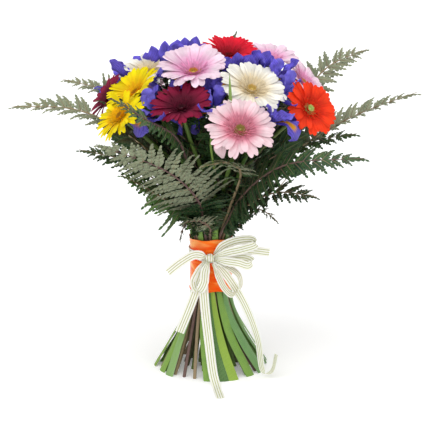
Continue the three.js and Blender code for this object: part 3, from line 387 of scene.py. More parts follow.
def blades(middle, across, up, half, thick, rise, count, tone, slots=(0, 1)):
    """Closed blades. Each point is middle + across half a + up (rise(a) +- thick sqrt(1 - a^2)), where a runs
    over count values from -1 to 1 on the upper face and back on the lower one."""
    a = np.linspace(-1, 1, count)
    loop = np.concatenate([a, a[-2:0:-1]])
    face = np.where(np.arange(len(loop)) < count, 1, -1)
    swell = face * np.sqrt(np.maximum(0, 1 - loop**2))
    thick = np.broadcast_to(thick, half.shape)
    lift = rise(loop) if callable(rise) else np.zeros(half.shape + loop.shape)
    rings = (
        middle[..., None, :]
        + across[..., None, :] * (half[..., None] * loop)[..., None]
        + up[..., None, :] * (lift + thick[..., None] * swell)[..., None]
    )
    along = np.linspace(0, 1, half.shape[1])[None, :, None]
    grow = np.stack(np.broadcast_arrays(loop[None, None], along, np.reshape(tone, (-1, 1, 1))), axis=-1)
    sides = np.where(np.arange(len(loop)) < count - 1, slots[0], slots[1])
    return skins(rings, grow, sides, slots[0])


def stalks(middle, side, radius, sides, tone, slot=0, end_slot=0, ridge=0.0):
    """Closed round stalks: rings of radius (1 + ridge cos 3w) in the plane square to middle's way, where w
    runs once round from side. The foot of one that stands on the floor is cut level."""
    ahead = level_at_floor(middle)
    first = squared_off(side, ahead)
    other = np.cross(ahead, first)
    w = 2 * np.pi * np.arange(sides) / sides
    far = np.broadcast_to(radius, middle.shape[:-1])[..., None, None] * (1 + ridge * np.cos(3 * w))[:, None]
    rings = middle[..., None, :] + far * (
        first[..., None, :] * np.cos(w)[:, None] + other[..., None, :] * np.sin(w)[:, None]
    )
    along = np.linspace(0, 1, middle.shape[-2])[None, :, None]
    grow = np.stack(np.broadcast_arrays(np.cos(w), along, np.reshape(tone, (-1, 1, 1))), axis=-1)
    return skins(rings, grow, np.full(sides, slot), end_slot)


def make_piece(name, parts, materials, slot, *nodes, sharp=50):
    """One mesh object of all the parts, at the origin, in metres, with its grow attribute. It rides on the
    bouquet and stands for the nodes given."""
    starts = np.cumsum([0] + [len(part["points"]) for part in parts])
    faces = [(index + start, kind) for part, start in zip(parts, starts) for index, kind in part["faces"]]
    mesh = bpy.data.meshes.new(name)
    points = np.concatenate([part["points"] for part in parts]) * MM
    loops = np.concatenate([index.reshape(-1) for index, _ in faces])
    sizes = np.concatenate([np.full(len(index), index.shape[1]) for index, _ in faces])
    kinds = np.concatenate([np.broadcast_to(kind, len(index)) for index, kind in faces])
    mesh.vertices.add(len(points))
    mesh.vertices.foreach_set("co", points.astype(np.float32).ravel())
    mesh.loops.add(len(loops))
    mesh.loops.foreach_set("vertex_index", loops.astype(np.int32))
    mesh.polygons.add(len(sizes))
    mesh.polygons.foreach_set("loop_start", (np.cumsum(sizes) - sizes).astype(np.int32))
    mesh.polygons.foreach_set("material_index", kinds.astype(np.int32))
    mesh.polygons.foreach_set("use_smooth", np.ones(len(sizes), bool))
    grow = mesh.attributes.new("grow", "FLOAT_VECTOR", "POINT")
    values = np.concatenate([part["grow"] for part in parts]).astype(np.float32)
    grow.data.foreach_set("vector", values.ravel())
    mesh.update(calc_edges=True)
    if mesh.validate():
        raise RuntimeError(f"{name} has faces that don't hold together")
    mesh.set_sharp_from_angle(angle=math.radians(sharp))
    for material in materials:
        mesh.materials.append(material)
    made = bpy.data.objects.new(name, mesh)
    bpy.context.scene.collection.objects.link(made)
    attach(made, "root")
    if nodes:
        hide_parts(*nodes)
    return made


# Where the solids went


def corners_of(node):
    """The points of a solid, in millimetres."""
    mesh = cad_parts[node].data
    co = np.empty(len(mesh.vertices) * 3, np.float32)
    mesh.vertices.foreach_get("co", co)
    return co.reshape(-1, 3).astype(float) / MM


def nearest(points, corners):
    """How far each point is from the nearest corner."""
    gap = points[..., None, :] - corners
    return np.sqrt(np.min(np.sum(gap * gap, axis=-1), axis=-1))


def spread(z):
    """How much wider the bundle is than at the tie: sqrt(1 + (b/f)^2), b beyond the straight part."""
    beyond = np.maximum(0, np.abs(z - TIE_Z) - STRAIGHT_HALF)
    return np.hypot(1, beyond / FLARE_LENGTH)


def spiral_azimuth(azimuth, z):
    """The azimuth at the height z of a stem that has the given one at the binding point."""
    return azimuth + FOOT_TWIST * (TIE_Z - z) / TIE_Z


def ring_line(radius, azimuth, z):
    """Points at the heights z of a stem or leaf in the bundle, on a spiral that widens from the waist."""
    flat = direction(spiral_azimuth(azimuth, z)) * (radius * spread(z))[:, None]
    return flat * [1, 1, 0] + z[:, None] * UP


def foot_path(radius, azimuth):
    """The stations of a stem from its cut foot to the top of the band."""
    return ring_line(radius, azimuth, np.array(FOOT_LEVELS, float))


def side_by_side(items, radius):
    """Gives each item an azimuth round a ring, in the order of where the stems go, and turns the whole ring
    by the mean angle between what they want and what they get."""
    ordered = sorted(items, key=lambda item: item["wants"])
    spare = (2 * math.pi * radius - sum(item["width"] for item in ordered)) / len(ordered)
    widths = np.array([item["width"] + spare for item in ordered])
    azimuths = np.degrees((np.cumsum(widths) - widths / 2) / radius)
    away = np.radians(np.array([item["wants"] for item in ordered]) - azimuths)
    turn = np.degrees(np.arctan2(np.sin(away).sum(), np.cos(away).sum()))
    for item, azimuth in zip(ordered, azimuths + turn):
        item["azimuth"] = float(azimuth)


def azimuth_of(p):
    """The azimuth in which a point lies, in degrees."""
    return math.degrees(math.atan2(p[0], -p[1]))


def plan_flowers():
    """Every bloom and frond with its stem's place in the bundle."""
    flowers = []
    for index, (name, colour, centre, azimuth, elevation, radius, cup) in enumerate(GERBERAS):
        facing = direction(azimuth, elevation)
        middle = np.array(centre, float)
        flowers.append({
            "name": f"gerbera_{name}", "index": index, "colour": colour, "middle": middle, "facing": facing,
            "base": middle - facing * CALYX_DEPTH, "radius": radius, "cup": cup, "leafy": False,
        })
    for index, (name, centre, azimuth, elevation, turn, leafy) in enumerate(IRISES):
        facing = direction(azimuth, elevation)
        middle = np.array(centre, float)
        flowers.append({
            "name": f"iris_{name}", "index": index, "middle": middle, "facing": facing,
            "base": middle - facing * IRIS_MIDDLE, "turn": turn, "leafy": leafy,
        })
    facts = ("name", "in_collar", "points", "half_width", "pairs", "roll", "fold")
    fronds = [dict(zip(facts, row)) for row in FRONDS]
    for flower in flowers:
        flower["wants"] = azimuth_of(flower["middle"]) + SPIRAL_LEAD
        narrow = (STRAP_WIDTH + SIDE_GAP) * COLLAR_RING / STRAP_RING
        flower["width"] = narrow if flower["leafy"] else 2 * STEM_RADIUS
    for leaf in fronds:
        leaf["wants"] = azimuth_of(leaf["points"][0]) + SPIRAL_LEAD / 2
        leaf["width"] = 2 * STIPE_RADIUS + SIDE_GAP
    bare = [flower for flower in flowers if not flower["leafy"]]
    bare.sort(key=lambda flower: math.hypot(flower["middle"][0], flower["middle"][1]))
    leafy = [flower for flower in flowers if flower["leafy"]]
    middle_stem, core, bunch = bare[0], bare[1:7], bare[7:]
    side_by_side(core, CORE_RING)
    side_by_side(bunch, BUNCH_RING)
    side_by_side([leaf for leaf in fronds if not leaf["in_collar"]], INNER_FERN_RING)
    side_by_side([*leafy, *(leaf for leaf in fronds if leaf["in_collar"])], COLLAR_RING)
    middle_stem["azimuth"] = core[0]["azimuth"] - 90
    rings = {"stems_core": [(middle_stem, 0), *((f, CORE_RING) for f in core)]}
    rings["stems_bunch"] = [(flower, BUNCH_RING) for flower in bunch]
    for flower in leafy:
        rings[flower["name"].replace("iris_", "iris_leafy_stem_")] = [(flower, COLLAR_RING)]
    return flowers, fronds, rings


def upper_path(start, flower, route, t):
    """The free part of a stem: the cubic with the control points start, start + rise, neck - facing, neck, at
    the shares t, and then the bloom's base."""
    pull, lean, swing = route
    end = flower["base"] - flower["facing"] * SEAT_GAP
    neck = end - flower["facing"] * 6
    reach = np.linalg.norm(start - neck)
    rise = unit(UP + direction(flower["azimuth"] + swing) * lean)
    control = [start, start + rise * reach * pull, neck - flower["facing"] * reach * 0.3, neck]
    t = np.asarray(t, float)[:, None]
    weights = [(1 - t) ** 3, 3 * t * (1 - t) ** 2, 3 * t**2 * (1 - t), t**3]
    return np.vstack([sum(w * p for w, p in zip(weights, control)), end])


def stem_path(flower, ring, corners):
    """All stations of one stem. Its route is the one whose middles have the most corners of the solid a
    stem's radius away."""
    foot = foot_path(ring, flower["azimuth"])
    shares = [0.25, 0.5, 0.75, 1]
    radius = STEM_RADIUS * (1 + (STEM_TOP_TAPER - 1) * np.arange(1, 4) / 5)
    found = []
    for route in STEM_ROUTES:
        free = upper_path(foot[-1], flower, route, shares)
        gap = np.linalg.norm(free[:3, None] - corners, axis=-1)
        found.append(np.sum(np.abs(gap - radius[:, None]) < STEM_MATCH))
    if max(found) < LEAST_MATCHES:
        raise RuntimeError(f"the stem of {flower['name']} isn't where the plan puts it")
    return np.vstack([foot, upper_path(foot[-1], flower, STEM_ROUTES[int(np.argmax(found))], shares)])


def frond_line(foot, points, route):
    """The line of one frond, as a function of the shares u: the smooth path through the top of the binding, a
    point that rises, and the three points given, of which the lower two are swung and raised by the route."""
    steep, swing, lift = route
    below, start = foot[-2:]
    neck, middle, tip = (np.array(p, float) for p in points)
    low = turned(neck, UP, swing) + UP * lift
    risen = start + (low - start) * 0.45 * steep
    risen[2] = start[2] + (low[2] - start[2]) * 0.45
    half_way = turned(middle, UP, swing * 0.5) + UP * lift * 0.5
    return lambda u: smooth_path([below, start, risen, low, half_way, tip], u)


def frond_frame(leaf, foot, route):
    """The rachis of one frond: its points, and at each the way ahead, the way to the right and the way up."""
    line = frond_line(foot, leaf["points"], route)
    pairs = leaf["pairs"]
    rachis = line(LEAF_START + (1 - LEAF_START) * np.arange(pairs + 2) / (pairs + 1))
    flat = unit(np.cross((rachis[-1] - rachis[0]) * [1, 1, 0], UP))
    ahead = unit(np.vstack([rachis[1:], rachis[-1:]]) - np.vstack([rachis[:1], rachis[:-1]]))
    rolled = turned(np.broadcast_to(flat, ahead.shape), ahead, np.full(len(ahead), leaf["roll"]))
    side = squared_off(rolled, ahead)
    return {"line": line, "rachis": rachis, "ahead": ahead, "side": side, "up": np.cross(side, ahead)}


def find_frond(leaf):
    """The frame of a frond on the route that its solid took."""
    corners = corners_of("fern_frond_" + leaf["name"])
    foot = foot_path(COLLAR_RING if leaf["in_collar"] else INNER_FERN_RING, leaf["azimuth"])
    pairs = leaf["pairs"]
    thick = (1 - 0.4 * np.arange(pairs + 1) / pairs)[:, None]
    frames = [frond_frame(leaf, foot, route) for route in FROND_ROUTES]
    tops = [trial["rachis"][: pairs + 1] + trial["up"][: pairs + 1] * thick for trial in frames]
    off = [nearest(top, corners).mean() for top in tops]
    if min(off) > FROND_MATCH:
        raise RuntimeError(f"frond {leaf['name']} isn't where the plan puts it")
    found = frames[int(np.argmin(off))]
    found["foot"] = foot
    found["pinnae"] = find_pinnae(leaf, found, corners)
    return found


def find_pinnae(leaf, found, corners):
    """Every pinna of a frond, bent as its solid is: root, way, rachis' way ahead, up, length, spacing."""
    pairs = leaf["pairs"]
    slim = RACHIS_HALF_WIDTH * (1 - 0.5 * np.arange(pairs + 1) / pairs)
    bends = np.array(PINNA_BENDS, float)
    pinnae = []
    for k, s in itertools.product(range(pairs), (1, -1)):
        ahead, side = found["ahead"][k], found["side"][k]
        notch = found["rachis"][k : k + 2] + found["side"][k : k + 2] * (s * slim[k : k + 2, None])
        root = notch.mean(axis=0)
        t = (k + 0.5) / (pairs + 0.6)
        slant = math.radians(PINNA_SLANTS[0] + (PINNA_SLANTS[1] - PINNA_SLANTS[0]) * t + 4 * vary(k, pairs))
        taper = (1 - t) ** PINNA_TAPER * min(1, 0.74 + 2.4 * t) * (1 + 0.06 * vary(k, s))
        out = turned(np.broadcast_to(side * s, (len(bends), 3)), ahead, s * (bends[:, 1] - leaf["fold"]))
        way = out * math.cos(slant) + ahead * math.sin(slant)
        up = np.cross(out, ahead) * s
        length = leaf["half_width"] * taper * bends[:, 0]
        tips = root + way * length[:, None] - up * (length * PINNA_DROOP)[:, None]
        b = int(np.argmin(nearest(tips, corners)))
        pinnae.append((root, way[b], ahead, up[b], length[b], np.linalg.norm(notch[1] - notch[0])))
    return pinnae


# Materials


def add_node(tree, kind, inputs=(), output=0, **settings):
    """Adds a shader node with these settings and gives one of its outputs. Each of its inputs is a value, or
    another node's output that is joined to it."""
    node = tree.nodes.new(f"ShaderNode{kind}")
    for key, value in settings.items():
        setattr(node, key, value)
    for key, value in dict(inputs).items():
        if isinstance(value, bpy.types.NodeSocket):
            tree.links.new(value, node.inputs[key])
        else:
            node.inputs[key].default_value = value
    return node.outputs[output] if node.outputs else None


def start_material(name):
    """A material with no nodes, its tree, the place on the piece in metres, and the piece's grow attribute in
    its three parts: across, along and tone."""
    material = bpy.data.materials.new(name)
    material.use_nodes = True
    tree = material.node_tree
    tree.nodes.clear()
    spot = add_node(tree, "TexCoord", output="Object")
    grow = add_node(tree, "Attribute", output="Vector", attribute_name="grow")
    return material, tree, spot, add_node(tree, "SeparateXYZ", {0: grow}).node.outputs


def end_material(tree, colour, gloss, normal, look, through=0.0):
    """Joins up the surface. through is the share of the light that a thin leaf, petal or cloth lets pass."""
    inputs = {"Base Color": colour, "Roughness": gloss, "Normal": normal}
    surface = add_node(tree, "BsdfPrincipled", inputs | look)
    if through:
        thin = add_node(tree, "BsdfTranslucent", {"Color": colour})
        surface = add_node(tree, "MixShader", {0: through, 1: surface, 2: thin})
    add_node(tree, "OutputMaterial", {"Surface": surface})


def petal_skin(name, face, root, streak, reach=0.7, ridges=3.0, through=0.25, mottle=0.06):
    """Living petal skin, thin and full of water: a soft gleam, a root of another colour, and so many veined
    ridges on each side of its middle, on a gerbera about 1.5 mm apart. The colour changes over the first part
    of its length, as far as reach, and patches about 12 mm wide are lighter or darker by the share mottle."""
    material, tree, spot, grow = start_material(name)
    inputs = {"Value": grow["Y"], "From Min": 0.12, "From Max": reach}
    toward_tip = add_node(tree, "MapRange", inputs, interpolation_type="SMOOTHSTEP")
    ground = add_node(tree, "Mix", {0: toward_tip, 6: root, 7: face}, 2, data_type="RGBA")
    wander = add_node(tree, "TexNoise", {"Vector": spot, "Scale": 240.0, "Detail": 3.0})
    shifted = add_node(tree, "Math", {0: wander, 1: 0.25, 2: grow["X"]}, operation="MULTIPLY_ADD")
    turns = add_node(tree, "Math", {0: shifted, 1: ridges * 2 * math.pi}, operation="MULTIPLY")
    wave = add_node(tree, "Math", {0: turns}, operation="COSINE")
    vein = add_node(tree, "MapRange", {"Value": wave, "From Min": 0.1, "To Max": 0.45})
    veined = add_node(tree, "Mix", {0: vein, 6: ground, 7: streak}, 2, data_type="RGBA")
    tone = add_node(tree, "MapRange", {"Value": grow["Z"], "To Min": 0.86, "To Max": 1.08})
    patch = add_node(tree, "TexNoise", {"Vector": spot, "Scale": 85.0, "Detail": 2.0})
    inputs = {"Value": patch, "From Min": 0.35, "From Max": 0.65, "To Min": 1 - mottle, "To Max": 1 + mottle}
    lighter = add_node(tree, "MapRange", inputs)
    value = add_node(tree, "Math", {0: tone, 1: lighter}, operation="MULTIPLY")
    shade = add_node(tree, "HueSaturation", {"Value": value, "Color": veined})
    gloss = add_node(tree, "MapRange", {"Value": wander, "To Min": 0.5, "To Max": 0.75})
    normal = add_node(tree, "Bump", {"Height": wave, "Strength": 0.35, "Distance": 0.0002})
    end_material(tree, shade, gloss, normal, PETAL_LOOK, through)
    return material


def fall_skin(name, face, blotch, vein):
    """The fall of a Dutch iris: petal skin with a yellow blotch down its middle, between dark veins that are
    2 mm apart at its waist and 5 mm at its widest, coarser than real ones so that they show."""
    material, tree, spot, grow = start_material(name)
    wander = add_node(tree, "TexNoise", {"Vector": spot, "Scale": 300.0, "Detail": 3.0})
    aside = add_node(tree, "Math", {0: grow["X"]}, operation="ABSOLUTE")
    ragged = add_node(tree, "Math", {0: wander, 1: 0.3, 2: aside}, operation="MULTIPLY_ADD")
    narrow = add_node(tree, "MapRange", {"Value": ragged, "From Min": 0.62, "From Max": 0.4})
    inputs = {"Value": grow["Y"], "From Min": 0.78, "From Max": 0.6}
    span = add_node(tree, "MapRange", inputs, interpolation_type="SMOOTHSTEP")
    mark = add_node(tree, "Math", {0: narrow, 1: span}, operation="MULTIPLY")
    turns = add_node(tree, "Math", {0: grow["X"], 1: 22.0, 2: wander}, operation="MULTIPLY_ADD")
    wave = add_node(tree, "Math", {0: turns}, operation="COSINE")
    line = add_node(tree, "MapRange", {"Value": wave, "From Min": 0.2, "To Max": 0.5})
    veined = add_node(tree, "Mix", {0: line, 6: face, 7: vein}, 2, data_type="RGBA")
    marked = add_node(tree, "Mix", {0: mark, 6: veined, 7: blotch}, 2, data_type="RGBA")
    tone = add_node(tree, "MapRange", {"Value": grow["Z"], "To Min": 0.82, "To Max": 1.12})
    shade = add_node(tree, "HueSaturation", {"Value": tone, "Color": marked})
    gloss = add_node(tree, "MapRange", {"Value": wander, "To Min": 0.4, "To Max": 0.6})
    normal = add_node(tree, "Bump", {"Height": wave, "Strength": 0.4, "Distance": 0.0003})
    end_material(tree, shade, gloss, normal, PETAL_LOOK, 0.2)
    return material


def leaf_skin(name, fresh, old, vein, rough, veins=7.0, through=0.12):
    """Leaf skin: waxed and leathery above, matt below. Its tone goes from leaflet to leaflet between fresh
    and old, and on the fern it also carries painted shade, which takes shaded leaflets towards the old
    colour. Paler veins run along it."""
    material, tree, spot, grow = start_material(name)
    patch = add_node(tree, "TexNoise", {"Vector": spot, "Scale": 120.0, "Detail": 4.0})
    inputs = {0: patch, 1: 0.6, 2: grow["Z"]}
    tone = add_node(tree, "Math", inputs, operation="MULTIPLY_ADD", use_clamp=True)
    # on the fern the tone holds painted shade as well as age
    age_and_shade = add_node(tree, "MapRange", {"Value": tone, "From Min": 0.25, "From Max": 1.3})
    ground = add_node(tree, "Mix", {0: age_and_shade, 6: old, 7: fresh}, 2, data_type="RGBA")
    turns = add_node(tree, "Math", {0: grow["X"], 1: veins * math.pi}, operation="MULTIPLY")
    wave = add_node(tree, "Math", {0: turns}, operation="COSINE")
    line = add_node(tree, "MapRange", {"Value": wave, "From Min": 0.55, "To Max": 0.5})
    veined = add_node(tree, "Mix", {0: line, 6: ground, 7: vein}, 2, data_type="RGBA")
    gloss = add_node(tree, "MapRange", {"Value": patch, "To Min": rough - 0.08, "To Max": rough + 0.12})
    normal = add_node(tree, "Bump", {"Height": wave, "Strength": 0.5, "Distance": 0.0002})
    end_material(tree, veined, gloss, normal, LEAF_LOOK, through)
    return material


def stalk_skin(name, fresh, old, rough=0.5):
    """A stalk's skin: fine ribs about 1 mm wide that run up it, and its own tone between fresh and old."""
    material, tree, spot, grow = start_material(name)
    drawn_out = add_node(tree, "Mapping", {"Vector": spot, "Scale": (1.0, 1.0, 0.06)})
    ribs = add_node(tree, "TexNoise", {"Vector": drawn_out, "Scale": 900.0, "Detail": 2.0})
    tone = add_node(tree, "Math", {0: ribs, 1: 0.5, 2: -0.25}, operation="MULTIPLY_ADD")
    mixed = add_node(tree, "Math", {0: tone, 1: grow["Z"]}, operation="ADD", use_clamp=True)
    ground = add_node(tree, "Mix", {0: mixed, 6: old, 7: fresh}, 2, data_type="RGBA")
    gloss = add_node(tree, "MapRange", {"Value": ribs, "To Min": rough - 0.1, "To Max": rough + 0.15})
    normal = add_node(tree, "Bump", {"Height": ribs, "Strength": 0.4, "Distance": 0.0002})
    end_material(tree, ground, gloss, normal, LEAF_LOOK)
    return material


def satin_cloth(name, bright, fold_shade):
    """Polyester satin: long floats that lie one way. The broad soft lights on it are painted highlights of a
    pale orange, and its folds, which are about 14 mm high, are painted deep as shade. Its threads are drawn
    as lines round the band 0.4 mm apart, coarser than real ones so that they show."""
    material, tree, spot, _ = start_material(name)
    drawn_out = add_node(tree, "Mapping", {"Vector": spot, "Scale": (0.35, 0.35, 1.6)})
    inputs = {"Vector": drawn_out, "Scale": 46.0, "Detail": 3.0, "Distortion": 0.9}
    crumple = add_node(tree, "TexNoise", inputs)
    # painted shade: the folds go to the deep colour and the crests keep the satin's own
    painted_fold_shade = add_node(tree, "MapRange", {"Value": crumple, "From Min": 0.36, "From Max": 0.64})
    ground = add_node(tree, "Mix", {0: painted_fold_shade, 6: fold_shade, 7: bright}, 2, data_type="RGBA")
    # painted highlights: pale orange patches laid where lamps would gleam on the satin
    inputs = {"Vector": spot, "Location": (0.3, 0.1, 0.2), "Scale": (0.5, 0.5, 1.3)}
    pulled = add_node(tree, "Mapping", inputs)
    inputs = {"Vector": pulled, "Scale": 34.0, "Detail": 1.0, "Distortion": 1.4}
    highlight_patches = add_node(tree, "TexNoise", inputs)
    inputs = {"Value": highlight_patches, "From Min": 0.56, "From Max": 0.72, "To Max": 0.8}
    painted_highlight = add_node(tree, "MapRange", inputs)
    with_painted_highlight = add_node(tree, "Mix", {0: painted_highlight, 6: ground, 7: linear("FFB868")}, 2, data_type="RGBA")
    threads = add_node(tree, "TexWave", {"Vector": spot, "Scale": 800.0}, 1, bands_direction="Z")
    gloss = add_node(tree, "MapRange", {"Value": threads, "To Min": 0.2, "To Max": 0.34})
    fold = add_node(tree, "Bump", {"Height": crumple, "Strength": 0.5, "Distance": 0.003})
    inputs = {"Height": threads, "Strength": 0.15, "Distance": 0.00005, "Normal": fold}
    normal = add_node(tree, "Bump", inputs)
    look = {"IOR": 1.54, "Specular IOR Level": 0.5, "Specular Tint": linear("FFB060")}
    end_material(tree, with_painted_highlight, gloss, normal, look)
    return material


def ribbon_cloth(name, ground, stripe, edge):
    """Thin woven ribbon: yellow-green stripes 3 mm apart along it and a white selvedge. Its threads are drawn
    as slanting lines 0.9 mm apart, much coarser than real ones so that they show."""
    material, tree, spot, grow = start_material(name)
    turns = add_node(tree, "Math", {0: grow["X"], 1: 4 * math.pi}, operation="MULTIPLY")
    wave = add_node(tree, "Math", {0: turns}, operation="COSINE")
    line = add_node(tree, "MapRange", {"Value": wave, "From Min": 0.35, "From Max": 0.8, "To Max": 0.9})
    striped = add_node(tree, "Mix", {0: line, 6: ground, 7: stripe}, 2, data_type="RGBA")
    aside = add_node(tree, "Math", {0: grow["X"]}, operation="ABSOLUTE")
    border = add_node(tree, "MapRange", {"Value": aside, "From Min": 0.88, "From Max": 0.93})
    edged = add_node(tree, "Mix", {0: border, 6: striped, 7: edge}, 2, data_type="RGBA")
    weave = add_node(tree, "TexWave", {"Vector": spot, "Scale": 400.0}, 1, bands_direction="DIAGONAL")
    gloss = add_node(tree, "MapRange", {"Value": weave, "To Min": 0.5, "To Max": 0.7})
    normal = add_node(tree, "Bump", {"Height": weave, "Strength": 0.3, "Distance": 0.0001})
    end_material(tree, edged, gloss, normal, {"IOR": 1.5, "Sheen Weight": 0.2}, 0.3)
    return material


# Sizes and colours that a user would change


class BouquetSizes(bpy.types.PropertyGroup):
    """The sizes that a user can change"""

    petal_width: bpy.props.FloatProperty(
        name="Petal width", description="Width of a gerbera petal as a share of the bloom's radius",
        default=0.2, min=0.1, max=0.35,
    )
    petal_thickness: bpy.props.FloatProperty(
        name="Petal thickness", description="Thickness of a gerbera petal at its middle",
        default=0.5 * MM, unit="LENGTH",
    )
    leaflet_spacing: bpy.props.FloatProperty(
        name="Leaflet spacing", description="Distance between the leaflets along a pinna of the fern",
        default=7.5 * MM, unit="LENGTH",
    )
    ribbon_width: bpy.props.FloatProperty(
        name="Ribbon width", description="Width of the striped ribbon", default=13 * MM, unit="LENGTH"
    )
    ribbon_thickness: bpy.props.FloatProperty(
        name="Ribbon thickness",
        description="Thickness of the striped ribbon",
        default=0.3 * MM,
        unit="LENGTH",
    )


def colour_property(name, description, code):
    """A colour that a user can change, and its sRGB hex code."""
    return bpy.props.FloatVectorProperty(
        name=name, description=description, default=linear(code), size=4, min=0, max=1, subtype="COLOR"
    )


class BouquetColours(bpy.types.PropertyGroup):
    """The colours that a user can change"""

    pink: colour_property("Pink", "Face of the pink gerbera petals", "FFEAF6")
    pink_root: colour_property("Pink root", "Root of the pink gerbera petals", "F8B4DC")
    pale_rose: colour_property("Pale rose", "Face of the pale rose gerbera petals", "FEE6EB")
    pale_rose_root: colour_property("Pale rose root", "Root of the pale rose gerbera petals", "EC8EA6")
    cream: colour_property("Cream", "Face of the cream gerbera petals", "FFFDF6")
    cream_root: colour_property("Cream root", "Root of the cream gerbera petals", "F8EACA")
    burgundy: colour_property("Burgundy", "Face of the burgundy gerbera petals", "981640")
    burgundy_root: colour_property("Burgundy root", "Root of the burgundy gerbera petals", "5A0C28")
    yellow: colour_property("Yellow", "Face of the yellow gerbera petals", "FFEE00")
    yellow_root: colour_property("Yellow root", "Root of the yellow gerbera petals", "FFD200")
    scarlet: colour_property("Scarlet", "Face of the scarlet gerbera petals", "F41A36")
    scarlet_root: colour_property("Scarlet root", "Root of the scarlet gerbera petals", "C00E2A")
    orange_red: colour_property("Orange red", "Face of the orange-red gerbera petals", "FF4418")
    orange_red_root: colour_property("Orange red root", "Root of the orange-red gerbera petals", "E42A10")
    iris: colour_property("Iris violet", "Face of the iris petals", "7466DC")
    iris_vein: colour_property("Iris vein", "Veins and shaded parts of the iris petals", "35278E")
    iris_blotch: colour_property("Iris blotch", "Blotch on the falls", "F5A81C")
    fern_fresh: colour_property("Fresh fern", "Youngest leaflets of the fern", "5F8A3A")
    fern_old_and_shaded: colour_property("Old fern", "Oldest leaflets of the fern", "25402C")
    # The old fern colour is also where painted shade takes the low, hanging and heart leaflets
    fern_under: colour_property("Fern underside", "Lower face of the leaflets", "A6AC88")
    stipe: colour_property("Fern stalk", "Stalk and ribs of the fern", "9C8A66")
    stem: colour_property("Stem", "Green flower stems", "66863A")
    dark_stem: colour_property("Dark stem", "Purple-brown flower stems", "4A2C30")
    strap: colour_property("Strap leaf", "Fresh iris leaves", "8CB43C")
    strap_old: colour_property("Old strap leaf", "Grey-green iris leaves", "4A7C3C")
    satin: colour_property("Satin", "Face of the satin", "FF8428")
    # painted shade: the colour that the satin's folds are darkened to
    satin_fold_shade: colour_property("Deep satin", "Folds of the satin", "F23A00")
    ribbon: colour_property("Ribbon", "Ground of the ribbon", "FFFFF8")
    ribbon_stripe: colour_property("Ribbon stripe", "Stripes of the ribbon", "B9BE6A")
    ribbon_edge: colour_property("Ribbon edge", "Selvedge of the ribbon", "FBFAF6")


def sizes():
    """The scene's sizes for the bouquet."""
    return bpy.context.scene.bouquet_sizes


def colours():
    """The scene's colours for the bouquet."""
    return bpy.context.scene.bouquet_colours


def mixed_colour(first, second, share):
    """first + (second - first) share, channel by channel."""
    return tuple(a + (b - a) * share for a, b in zip(first, second))


# Stems and leaves


def round_stems(stems, corners):
    """One round stalk for each (flower, ring) of a bundle, through the stations of its solid."""
    t = np.linspace(0, 1, 34)
    paths = np.stack([smooth_path(stem_path(flower, ring, corners), t) for flower, ring in stems])
    side = np.stack([direction(flower["azimuth"] + 90) for flower, _ in stems])[:, None]
    slim = 1 + (STEM_TOP_TAPER - 1) * np.clip((t - 0.4) / 0.6, 0, 1)
    tone = 0.5 + 0.5 * vary(np.arange(len(stems)), 3)
    return stalks(paths, side, STEM_RADIUS * slim, 12, tone, end_slot=1, ridge=0.03)


def make_stems():
    """The stems of both bundles, the leaves round the foot, and the iris stems with their long leaves."""
    colour = colours()
    _, _, rings = plan_flowers()
    pith = stalk_skin("cut_stem_pith", linear("DCE3B0"), linear("B9C48A"), 0.6)
    for node in ("stems_core", "stems_bunch"):
        skin = stalk_skin(f"{node}_skin", colour.stem, colour.dark_stem, 0.5)
        stems = round_stems(rings[node], corners_of(node))
        make_piece(f"{node}_stalks", [stems], [skin, pith], "cut_stem", node)
    leafy = {node: stems for node, stems in rings.items() if node.startswith("iris_leafy")}
    face = leaf_skin("iris_leaf_face", colour.strap, colour.strap_old, linear("A9C77A"), 0.42, veins=9)
    back = leaf_skin(
        "iris_leaf_back", mixed_colour(colour.strap, linear("C4D4A8"), 0.4),
        mixed_colour(colour.strap_old, linear("A9BE9A"), 0.4), linear("C9D8AE"), 0.55, veins=9,
    )
    skin = stalk_skin("iris_stem_skin", colour.stem, linear("5C8238"), 0.45)
    make_foot_leaves(leafy)
    for order, (node, stems) in enumerate(leafy.items()):
        flower = stems[0][0]
        corners = corners_of(node)
        stem = round_stems(stems, corners)
        stem["faces"] = [(index, kind + 2) for index, kind in stem["faces"]]
        stations = stem_path(flower, COLLAR_RING, corners)
        leaf = strap_leaf(flower["azimuth"], stations, 0.5 + 0.5 * vary(order, 9))
        make_piece(f"{node}_leaf", [stem, leaf], [face, back, skin, pith], "iris_leaf", node)


def keeled_leaf(azimuth, middle, half, thick, tone, slots):
    """A long leaf that lies along its ring, with its face outwards, gently folded along its keel: at the
    share a of its half width it stands 0.9 (0.5 - |a|) mm high."""
    ahead = level_at_floor(middle)
    around = spiral_azimuth(azimuth, middle[:, 2])
    across = squared_off(direction(around + 90), ahead)
    up = np.cross(across, ahead)
    flip = np.where(np.sum(up * direction(around), axis=-1, keepdims=True) < 0, -1, 1)
    return blades(
        middle[None], across[None] * flip, up[None] * flip, half[None], thick,
        lambda a: (0.5 - np.abs(a)) * np.ones((1, len(middle), 1)) * 0.9, 9, [tone], slots,
    )


def strap_leaf(azimuth, stations, tone):
    """The long leaf that sheathes an iris stem, along the ring outside the stem's."""
    out = direction(azimuth - 10) * (STRAP_RING - COLLAR_RING)
    points = np.vstack([foot_path(STRAP_RING, azimuth), stations[4:6] + out])
    t = np.linspace(0, 1, 30)
    width = np.interp(t * (len(points) - 1), np.arange(len(points)), STRAP_WIDTHS)
    return keeled_leaf(azimuth, smooth_path(points, t), width / 2, 0.55, tone, (0, 1))


